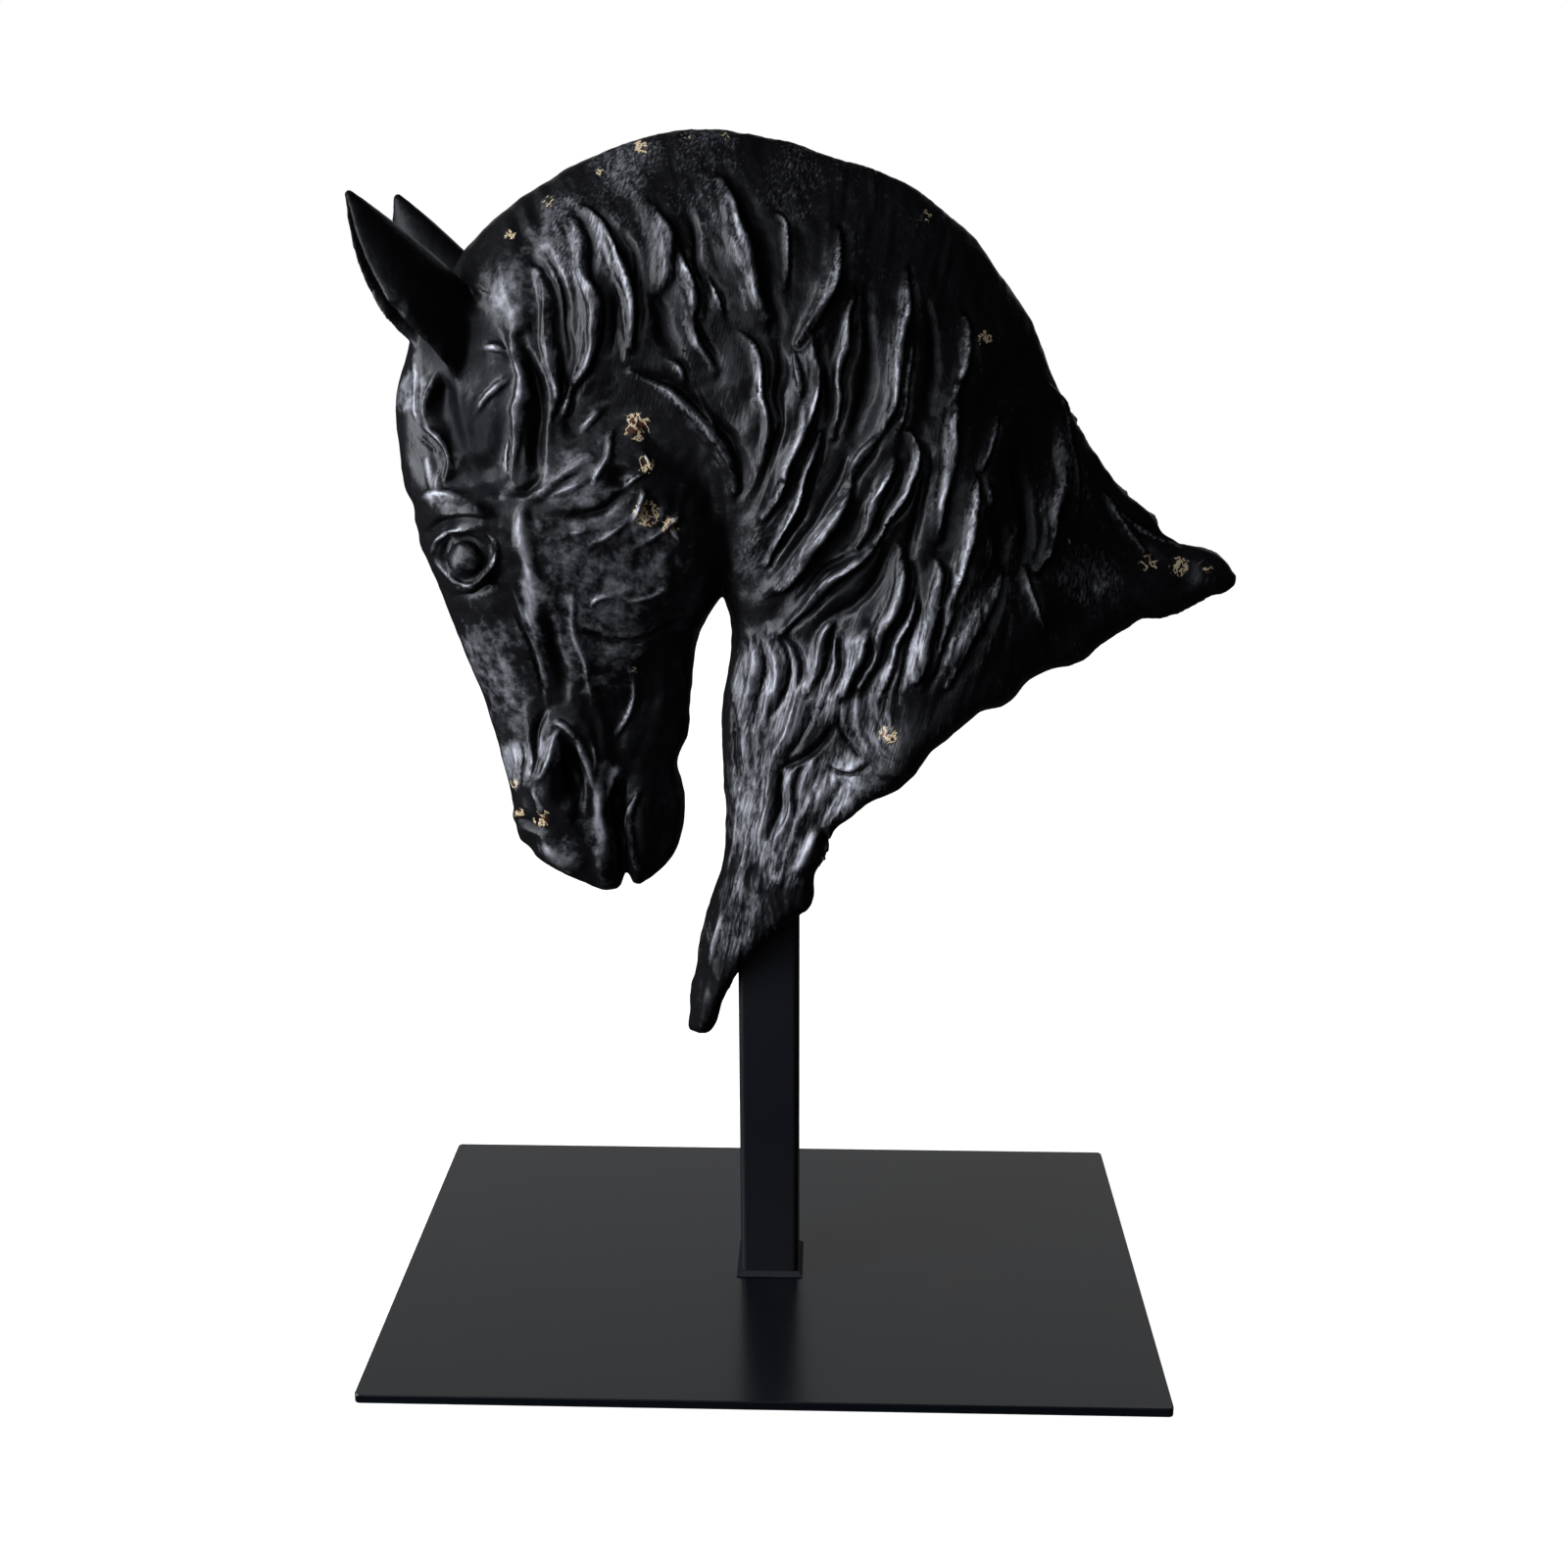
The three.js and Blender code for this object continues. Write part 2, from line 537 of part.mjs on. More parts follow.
// The post is a length of square tube with a weld round its foot.
function postGeometry() {
  const foot = plateThickness + jointGap;
  const bore = postSide - 2 * postWall;
  const tube = roundedSquare(postSide, postSide, postCornerRadius);
  tube.holes.push(roundedSquare(bore, bore, postCornerRadius - postWall, THREE.Path));
  const body = new THREE.ExtrudeGeometry(tube, {
    depth: socketTop - jointGap - foot,
    bevelEnabled: false,
    curveSegments: 3,
  });
  body.translate(0, 0, foot);
  const weld = new THREE.CylinderGeometry(
    (postSide / 2) * Math.SQRT2,
    (postSide / 2 + weldLeg) * Math.SQRT2,
    weldLeg,
    4,
    1,
  );
  weld.rotateX(Math.PI / 2).rotateZ(Math.PI / 4);
  weld.translate(0, 0, foot + weldLeg / 2);
  const inside = new THREE.BoxGeometry(bore, bore, 4 * weldLeg).translate(0, 0, foot);
  return geometryOf(solidOf(body).add(solidOf(weld).subtract(solidOf(inside))));
}

function plateGeometry() {
  const outline = roundedSquare(
    plateWidth - 2 * plateEdgeBevel,
    plateDepth - 2 * plateEdgeBevel,
    plateCornerRadius,
  );
  const plate = new THREE.ExtrudeGeometry(outline, {
    depth: plateThickness - 2 * plateEdgeBevel,
    bevelThickness: plateEdgeBevel,
    bevelSize: plateEdgeBevel,
    bevelSegments: 1,
    curveSegments: 2,
  });
  plate.translate(0, 0, plateEdgeBevel);
  return plate;
}

function piece(name, geometry, material) {
  const mesh = new THREE.Mesh(geometry, material);
  mesh.name = name;
  return mesh;
}

const castBlack = new THREE.MeshStandardMaterial({ color: 0x17171a, roughness: 0.42, metalness: 0.25 });
const steelBlack = new THREE.MeshStandardMaterial({ color: 0x1d1f22, roughness: 0.5, metalness: 0.3 });

const sculpture = new THREE.Group();
sculpture.add(
  piece("horse_head", horseGeometry(), castBlack),
  piece("post", postGeometry(), steelBlack),
  piece("base_plate", plateGeometry(), steelBlack),
);

export default sculpture;
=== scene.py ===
"""Looks for a cast horse head and arched neck on a square steel post and a flat steel plate.

The casting is carved here. A fine copy of the solid is smoothed, and gets its locks of mane,
eyelids, nostrils, lips, scars and torn edge. Metres, +Z up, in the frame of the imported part.
The horse looks along -X, its middle plane is y = 0 and its near side faces -Y.
"""
import logging
import math
from collections.abc import Sequence
from dataclasses import dataclass, replace
from enum import Enum
from typing import Any

import bmesh
import bpy
import numpy as np
from mathutils import Matrix, Vector


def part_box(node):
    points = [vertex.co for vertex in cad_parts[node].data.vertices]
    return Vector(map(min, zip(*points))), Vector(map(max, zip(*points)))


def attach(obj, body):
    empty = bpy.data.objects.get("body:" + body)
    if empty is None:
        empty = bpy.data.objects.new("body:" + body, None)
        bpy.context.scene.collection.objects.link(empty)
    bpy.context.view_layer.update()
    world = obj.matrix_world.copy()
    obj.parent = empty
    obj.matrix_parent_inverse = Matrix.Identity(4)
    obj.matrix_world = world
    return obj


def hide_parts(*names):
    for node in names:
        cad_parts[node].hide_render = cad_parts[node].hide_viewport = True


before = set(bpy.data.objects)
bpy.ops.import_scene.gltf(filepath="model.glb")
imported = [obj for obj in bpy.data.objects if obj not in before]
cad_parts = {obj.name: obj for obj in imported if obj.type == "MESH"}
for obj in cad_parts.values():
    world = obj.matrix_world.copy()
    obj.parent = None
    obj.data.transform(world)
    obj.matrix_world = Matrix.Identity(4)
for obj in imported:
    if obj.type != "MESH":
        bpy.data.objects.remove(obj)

log = logging.getLogger("horse_head_sculpture")

MM = 0.001


class Side(Enum):
    """The two sides of the casting, with the sign of y on each."""

    NEAR = -1.0
    FAR = 1.0


class Cut(Enum):
    """What a tool leaves behind: a lock of hair, a plain raised line, or a furrow."""

    LOCK = "lock"
    RIDGE = "ridge"
    FURROW = "furrow"


def ease(value: np.ndarray | float, low: float, high: float) -> np.ndarray:
    """Rises smoothly from 0 at low to 1 at high.

    Args:
        value: What is compared with the two limits.
        low: Where the rise starts.
        high: Where it ends, which may lie below low for a fall.

    Returns:
        The eased value, in the shape of value.
    """
    t = np.clip((np.asarray(value, float) - low) / (high - low), 0.0, 1.0)
    return t * t * (3 - 2 * t)


def off_by(places: np.ndarray, at: tuple[float, float], radius: float) -> np.ndarray:
    """How far picture places lie from one of them, in shares of a radius."""
    return np.hypot(*(places - np.array(at)).T) / radius


def placed(name: str, data: bpy.types.ID) -> bpy.types.Object:
    """Makes an object of some data and adds it to the scene."""
    made = bpy.data.objects.new(name, data)
    bpy.context.scene.collection.objects.link(made)
    return made


def coat(mesh: bpy.types.Mesh, material: bpy.types.Material) -> None:
    """Gives a mesh one material in place of any that it has."""
    mesh.materials.clear()
    mesh.materials.append(material)


@dataclass(frozen=True)
class StudioCamera:
    """The camera, fitted to the stand's straight edges. Lengths in metres, angles in degrees."""

    place: tuple[float, float, float] = (0.02694, -0.67693, 0.43488)
    yaw: float = -1.748
    pitch: float = 17.223
    roll: float = -0.108
    focal: float = 1780.4
    frame_side: float = 1600.0
    sensor_mm: float = 36.0
    sight: tuple[float, float] = (0.01, 50.0)

    def axes(self) -> np.ndarray:
        """The camera's right, up and forward directions, as rows."""
        yaw, pitch, roll = (math.radians(a) for a in (self.yaw, self.pitch, self.roll))
        forward = np.array(
            [math.sin(yaw) * math.cos(pitch), math.cos(yaw) * math.cos(pitch), -math.sin(pitch)]
        )
        level = np.array([math.cos(yaw), -math.sin(yaw), 0.0])
        above = np.cross(level, forward)
        right = math.cos(roll) * level + math.sin(roll) * above
        up = math.cos(roll) * above - math.sin(roll) * level
        return np.array([right, up, forward])

    def project(self, points: np.ndarray) -> np.ndarray:
        """Finds where points show in the picture.

        Args:
            points: Places in metres, one a row.

        Returns:
            Their places in the square picture, from its top left corner.
        """
        seen = (points - np.array(self.place)) @ self.axes().T
        scale = self.focal / seen[:, 2]
        half = self.frame_side / 2
        return np.stack([half + scale * seen[:, 0], half - scale * seen[:, 1]], axis=1)

    def build(self) -> None:
        """Adds the camera to the scene and makes it the one in use."""
        data = bpy.data.cameras.new("camera")
        data.sensor_width = self.sensor_mm
        data.lens = self.focal / self.frame_side * self.sensor_mm
        data.clip_start, data.clip_end = self.sight
        camera = placed("camera", data)
        right, up, forward = self.axes()
        turn = Matrix([right, up, -forward]).transposed().to_4x4()
        camera.matrix_world = Matrix.Translation(self.place) @ turn
        bpy.context.scene.camera = camera


@dataclass(frozen=True)
class Stroke:
    """One mark of the modelling tool, as a bent line in the camera's picture.

    start, bend and end are picture places, width is half the mark's breadth there, and
    rise is its height above the surface in millimetres, below it where negative.
    """

    start: tuple[float, float]
    bend: tuple[float, float]
    end: tuple[float, float]
    width: float
    rise: float

    def spine(self, steps: int = 12) -> np.ndarray:
        """Points along the stroke, which passes through bend at its middle."""
        a, b, c = (np.array(p, float) for p in (self.start, self.bend, self.end))
        pull = 2 * b - (a + c) / 2
        t = np.linspace(0, 1, steps + 1)[:, None]
        return (1 - t) ** 2 * a + 2 * t * (1 - t) * pull + t**2 * c


@dataclass(frozen=True)
class Pull:
    """A shift of the whole form about a picture place, by picture distances."""

    at: tuple[float, float]
    radius: float
    right: float
    down: float


@dataclass(frozen=True)
class Spot:
    """A round mark: a dent, a lump or a worn patch, at a place in the camera's picture."""

    at: tuple[float, float]
    radius: float
    rise: float


def strokes(*rows: tuple[float, ...]) -> tuple[Stroke, ...]:
    """Makes strokes of rows: x and y of start, bend and end, then width and rise."""
    return tuple(Stroke(row[:2], row[2:4], row[4:6], *row[6:]) for row in rows)


def spots(*rows: tuple[float, ...]) -> tuple[Spot, ...]:
    """Makes spots of rows: x and y, then radius and rise."""
    return tuple(Spot(row[:2], *row[2:]) for row in rows)


def pulls(*rows: tuple[float, ...]) -> tuple[Pull, ...]:
    """Makes pulls of rows: x and y, radius, then the shift to the right and down."""
    return tuple(Pull(row[:2], *row[2:]) for row in rows)


# The mane, from the poll back to the withers. Each stroke runs from the crest downwards.
MANE = strokes(
    (548, 282, 556, 345, 560, 418, 11, 2.2), (588, 232, 603, 330, 578, 396, 10, 2.6),
    (578, 396, 574, 412, 571, 424, 5, 1.6), (600, 218, 636, 285, 643, 355, 9, 2.4),
    (668, 215, 676, 250, 672, 300, 12, 1.3), (690, 255, 697, 290, 705, 330, 8, 2.0),
    (700, 325, 712, 352, 728, 385, 8, 1.8), (645, 385, 712, 425, 749, 498, 9, 2.6),
    (676, 362, 688, 378, 697, 392, 6, 1.5), (735, 192, 757, 250, 776, 322, 15, 2.4),
    (792, 222, 802, 243, 800, 290, 4, 1.4), (760, 345, 775, 400, 774, 475, 7, 2.0),
    (857, 232, 845, 295, 812, 350, 8, 2.8), (828, 345, 820, 430, 779, 528, 7, 2.8),
    (808, 360, 812, 380, 818, 402, 4, 1.2), (835, 445, 815, 507, 783, 575, 6, 2.4),
    (868, 305, 860, 350, 848, 445, 6, 2.0), (930, 282, 918, 345, 905, 435, 9, 2.8),
    (934, 335, 926, 380, 918, 440, 4, 1.6), (928, 440, 927, 480, 893, 552, 6, 2.6),
    (893, 552, 850, 588, 800, 645, 6, 2.6), (900, 440, 876, 462, 868, 495, 8, 2.2),
    (868, 495, 838, 548, 795, 603, 10, 2.8), (912, 470, 893, 512, 872, 552, 7, 2.4),
    (984, 325, 984, 370, 970, 415, 7, 2.0), (975, 400, 966, 470, 957, 550, 9, 2.4),
    (998, 488, 985, 550, 960, 662, 7, 2.8), (1018, 428, 1010, 455, 1003, 478, 4, 1.6),
    (1010, 495, 1007, 506, 1004, 518, 4, 1.2), (953, 575, 952, 620, 938, 695, 9, 2.4),
    (922, 562, 908, 620, 878, 695, 10, 2.6), (930, 598, 924, 642, 905, 700, 5, 2.0),
    (888, 640, 875, 668, 862, 705, 8, 2.0), (852, 632, 838, 660, 828, 700, 7, 1.8),
    (1003, 612, 984, 648, 962, 700, 9, 2.2), (1014, 578, 1008, 610, 992, 655, 8, 2.2),
    (1076, 430, 1079, 495, 1060, 585, 9, 2.6), (1046, 585, 1052, 608, 1062, 640, 5, 1.6),
    (1070, 400, 1092, 450, 1100, 520, 4, 0.9), (1128, 505, 1148, 540, 1170, 572, 5, 1.4),
    (1140, 516, 1165, 542, 1195, 556, 4, 1.2), (720, 285, 728, 305, 742, 320, 5, 1.4),
    (715, 400, 725, 430, 730, 450, 5, 1.2),
)

# Deep partings between the locks.
PARTINGS = strokes(
    (561, 262, 578, 320, 572, 398, 7, -2.6), (604, 245, 613, 310, 602, 400, 9, -2.6),
    (636, 235, 653, 290, 656, 350, 6, -2.2), (668, 300, 680, 330, 690, 365, 12, -1.8),
    (700, 215, 712, 260, 722, 330, 8, -2.0), (768, 215, 786, 270, 792, 340, 8, -2.0),
    (790, 350, 795, 420, 765, 520, 8, -2.6), (868, 560, 842, 580, 812, 612, 6, -2.4),
    (862, 470, 830, 535, 788, 590, 7, -2.6), (828, 440, 808, 490, 778, 545, 4, -1.8),
    (840, 330, 838, 400, 835, 440, 6, -2.0), (880, 300, 885, 380, 870, 440, 10, -2.2),
    (905, 560, 880, 600, 840, 640, 9, -2.6), (940, 440, 940, 520, 925, 580, 9, -2.6),
    (945, 300, 952, 360, 950, 420, 9, -1.8), (935, 600, 930, 660, 915, 720, 5, -2.2),
    (975, 620, 962, 670, 945, 710, 5, -2.2), (1000, 520, 1020, 560, 1000, 600, 10, -2.0),
    (1040, 440, 1045, 520, 1035, 590, 12, -2.2), (862, 650, 855, 680, 850, 705, 6, -2.4),
    (800, 650, 815, 670, 818, 700, 6, -2.0),
)

# Short hair, folds and cracks of the chest.
CHEST = strokes(
    (766, 650, 768, 690, 764, 735, 7, 1.4), (784, 655, 789, 690, 785, 735, 7, 1.4),
    (776, 655, 777, 700, 774, 740, 3, -1.2), (798, 650, 801, 690, 793, 730, 4, -1.8),
    (822, 700, 812, 735, 790, 780, 13, 2.2), (858, 742, 832, 768, 800, 788, 7, -2.6),
    (800, 788, 793, 815, 790, 850, 5, -2.2), (885, 772, 850, 800, 822, 832, 14, 1.2),
    (812, 800, 806, 830, 790, 870, 7, 1.4), (838, 845, 818, 868, 803, 893, 6, 1.2),
    (787, 790, 783, 820, 777, 865, 6, 1.4), (752, 805, 748, 850, 742, 900, 5, 1.0),
    (762, 840, 760, 880, 748, 930, 4, 1.0), (742, 925, 732, 955, 728, 985, 5, 0.9),
    (748, 720, 750, 765, 750, 800, 4, -1.0), (765, 735, 762, 770, 768, 800, 8, 0.9),
    (860, 730, 868, 755, 880, 772, 3, -1.4), (846, 782, 866, 792, 890, 778, 3, -1.2),
    (772, 880, 768, 900, 775, 915, 5, -1.2), (830, 775, 815, 800, 812, 830, 5, -1.2),
)

# Forelock, brow, eyelids, nose bone, cheek, nostril and lips.
FACE = strokes(
    (458, 352, 444, 385, 436, 430, 7, 1.6), (434, 432, 450, 455, 452, 492, 5, 1.6),
    (427, 445, 434, 453, 440, 462, 3, -1.2), (424, 360, 424, 400, 430, 432, 5, 0.9),
    (430, 465, 438, 480, 446, 505, 6, 0.9), (478, 358, 500, 352, 518, 362, 6, 1.2),
    (518, 385, 500, 402, 487, 428, 6, 0.9), (456, 368, 453, 405, 463, 455, 16, -3.2),
    (455, 478, 486, 487, 518, 478, 32, -3.6), (520, 345, 533, 410, 522, 488, 8, 2.2),
    (522, 448, 517, 470, 516, 493, 4, 1.0), (530, 345, 548, 420, 545, 492, 11, -3.4),
    (434, 508, 450, 502, 472, 508, 7, 1.1), (446, 480, 447, 495, 450, 508, 4, 1.2),
    (552, 470, 545, 495, 525, 503, 8, -2.0), (536, 510, 540, 570, 550, 645, 14, 1.4),
    (548, 508, 575, 488, 600, 470, 8, 1.8), (562, 508, 582, 500, 600, 490, 5, 1.2),
    (562, 498, 575, 490, 590, 485, 2.5, -1.0), (595, 438, 606, 428, 618, 415, 6, 1.4),
    (520, 600, 545, 645, 561, 715, 5, 1.2), (527, 625, 540, 655, 556, 705, 2.5, -0.9),
    (556, 622, 566, 660, 575, 716, 9, -1.8), (580, 600, 588, 655, 606, 715, 4, 1.0),
    (646, 690, 644, 720, 630, 752, 4, 1.0), (556, 725, 545, 750, 543, 795, 6, -1.8),
    (572, 745, 563, 765, 553, 792, 5, 1.6), (566, 738, 580, 742, 592, 752, 5, 1.6),
    (592, 750, 598, 775, 603, 805, 6, 2.0), (582, 757, 583, 790, 586, 835, 10, -3.6),
    (606, 757, 606, 775, 604, 790, 3, 0.8), (632, 783, 622, 795, 618, 820, 5, 1.4),
    (608, 790, 611, 835, 616, 893, 11, 1.7), (600, 800, 606, 815, 610, 830, 4, 0.8),
    (632, 800, 634, 845, 640, 890, 7, -2.4), (650, 805, 647, 850, 653, 888, 4, 2.0),
    (520, 760, 525, 775, 524, 795, 4, 0.9), (538, 750, 541, 775, 541, 795, 3, 0.8),
    (531, 755, 533, 780, 533, 810, 2.5, -0.7), (545, 805, 548, 820, 550, 835, 4, 0.9),
    (527, 838, 540, 842, 556, 850, 5, -1.2), (558, 862, 575, 872, 592, 870, 8, 1.1),
    (600, 650, 640, 655, 690, 640, 5, -1.0), (640, 605, 660, 610, 688, 602, 4, 1.0),
    (605, 622, 612, 610, 640, 602, 4, 0.8), (605, 496, 614, 474, 626, 442, 3.5, 1.5),
    (640, 498, 652, 486, 662, 479, 3, 1.3), (655, 460, 663, 468, 667, 478, 2.5, 1.0),
    (642, 532, 651, 515, 658, 500, 3.5, 1.5), (695, 523, 686, 533, 674, 545, 4, 1.5),
    (684, 536, 690, 543, 696, 551, 3.5, 1.2), (682, 538, 672, 545, 664, 550, 3.5, 1.2),
    (600, 560, 618, 545, 640, 528, 5, 1.4), (578, 548, 588, 545, 596, 540, 4, 0.9),
    (580, 530, 605, 520, 640, 505, 7, -1.8),
)

# The lids round the eyeball, drawn over it, and the fold above them.
LIDS = strokes(
    (438, 543, 458, 531, 500, 533, 6, -2.6), (441, 566, 452, 545, 484, 539, 3.2, 1.9),
    (496, 543, 507, 564, 490, 592, 3.2, 1.8), (486, 596, 466, 594, 444, 570, 3.0, 1.4),
    (462, 607, 490, 602, 508, 586, 4, -1.0),
)

# Dents and lumps that are round, and the eyeball.
DENTS = spots(
    (632, 487, 15, -2.6), (665, 520, 14, -3.0), (650, 433, 17, 0.8), (505, 522, 20, -2.0),
    (790, 645, 14, 1.6), (845, 735, 14, 1.8), (906, 753, 10, 1.4), (1125, 600, 14, 1.8),
    (1086, 590, 9, 1.2), (628, 785, 9, 1.6), (645, 684, 5, 0.9), (487, 518, 6, 0.9),
    (540, 477, 5, 0.8), (795, 898, 9, 1.0), (1212, 588, 20, -1.8),
)
EYEBALL = Spot((474, 570), 16.5, 2.5)

# Where the outline bulges or draws in.
OUTLINE = pulls(
    (718, 1040, 24, 1, 8), (833, 868, 30, 6, 4), (827, 920, 20, 3, 2), (915, 795, 45, 5, 7),
    (1025, 712, 32, 4, 7), (1098, 672, 32, 3, 6), (1195, 622, 34, 2, 7), (1245, 592, 20, 2, 5),
    (1165, 528, 34, 4, -4), (1048, 333, 60, 3, -2), (988, 243, 50, 2, -2), (810, 152, 30, 0, -2),
    (694, 830, 30, 2, 0), (700, 745, 25, 2, 0), (628, 898, 12, 0, 4), (640, 897, 8, 0, -8),
    (652, 896, 8, 0, 3), (527, 833, 10, -2, 0), (543, 862, 14, 3, -2), (422, 515, 18, 4, 0),
    (432, 558, 16, -2, 0),
)

# Worn places where the undercoat shows, with how strongly it does.
WORN = spots(
    (650, 435, 21, 1.0), (659, 474, 15, 0.65), (660, 524, 21, 0.8), (684, 538, 14, 0.75),
    (655, 150, 12, 0.7), (700, 138, 9, 0.4), (740, 140, 8, 0.6), (612, 175, 8, 0.5),
    (560, 206, 9, 0.6), (520, 240, 9, 0.8), (553, 835, 12, 1.0), (530, 830, 8, 0.9),
    (525, 800, 8, 0.6), (906, 750, 14, 0.9), (1005, 345, 12, 0.8), (1172, 575, 17, 0.5),
    (1203, 578, 17, 0.6), (1230, 578, 13, 0.45), (945, 220, 12, 0.4), (648, 684, 6, 0.7),
    (903, 640, 5, 0.6), (1090, 552, 6, 0.6),
)

# Areas brushed pale, partly dry-brushed patina and partly painted highlight where light falls, and
# patches of painted shade where rise is negative.
BRUSHED_LIGHT_AND_SHADE = spots(
    (590, 250, 75, 0.50), (690, 230, 70, 0.30), (640, 168, 50, 0.42), (725, 165, 50, 0.36),
    (805, 190, 55, 0.28), (525, 300, 45, 0.45), (422, 400, 30, 0.50), (452, 506, 24, 0.40),
    (500, 365, 26, 0.25), (455, 410, 28, -0.80), (484, 440, 50, -1.00), (495, 528, 24, -0.75),
    (538, 540, 22, 0.60), (544, 600, 24, 0.60), (585, 490, 44, 0.62), (620, 570, 100, 0.52),
    (605, 650, 80, 0.50), (510, 680, 75, 0.36), (525, 780, 34, 0.66), (578, 872, 28, 0.55),
    (612, 855, 32, 0.60), (622, 790, 18, 0.66), (560, 765, 22, 0.55), (795, 700, 75, 0.58),
    (865, 690, 66, 0.62), (930, 665, 54, 0.58), (985, 640, 44, 0.50), (890, 745, 36, 0.50),
    (775, 820, 75, 0.54), (845, 800, 54, 0.58), (800, 875, 44, 0.44), (740, 930, 64, 0.32),
    (1110, 590, 50, 0.40), (1080, 500, 50, 0.35), (1000, 590, 70, 0.32), (800, 560, 70, 0.34),
    (660, 820, 26, -0.60), (585, 800, 15, -0.80), (838, 762, 22, -0.40),
)


def nearest(spine: np.ndarray, xs: np.ndarray, ys: np.ndarray) -> tuple[np.ndarray, np.ndarray]:
    """Measures a window of the picture against a stroke.

    Args:
        spine: The stroke's points.
        xs: Picture x of each cell.
        ys: Picture y of each cell.

    Returns:
        The distance of each cell from the stroke, negative on its left as it runs down the
        picture, and how far along the stroke the nearest point lies, from 0 to 1.
    """
    best = np.full(xs.shape, 1e9)
    across = np.zeros(xs.shape)
    along = np.zeros(xs.shape)
    for i, (a, b) in enumerate(zip(spine[:-1], spine[1:])):
        edge = b - a
        size = max(float(edge @ edge), 1e-9)
        t = np.clip(((xs - a[0]) * edge[0] + (ys - a[1]) * edge[1]) / size, 0, 1)
        off_x, off_y = xs - a[0] - t * edge[0], ys - a[1] - t * edge[1]
        gap = np.hypot(off_x, off_y)
        side = np.sign(edge[1] * off_x - edge[0] * off_y)
        closer = gap < best
        best = np.where(closer, gap, best)
        across = np.where(closer, gap * np.where(side == 0, 1, side), across)
        along = np.where(closer, (i + t) / (len(spine) - 1), along)
    return across, along


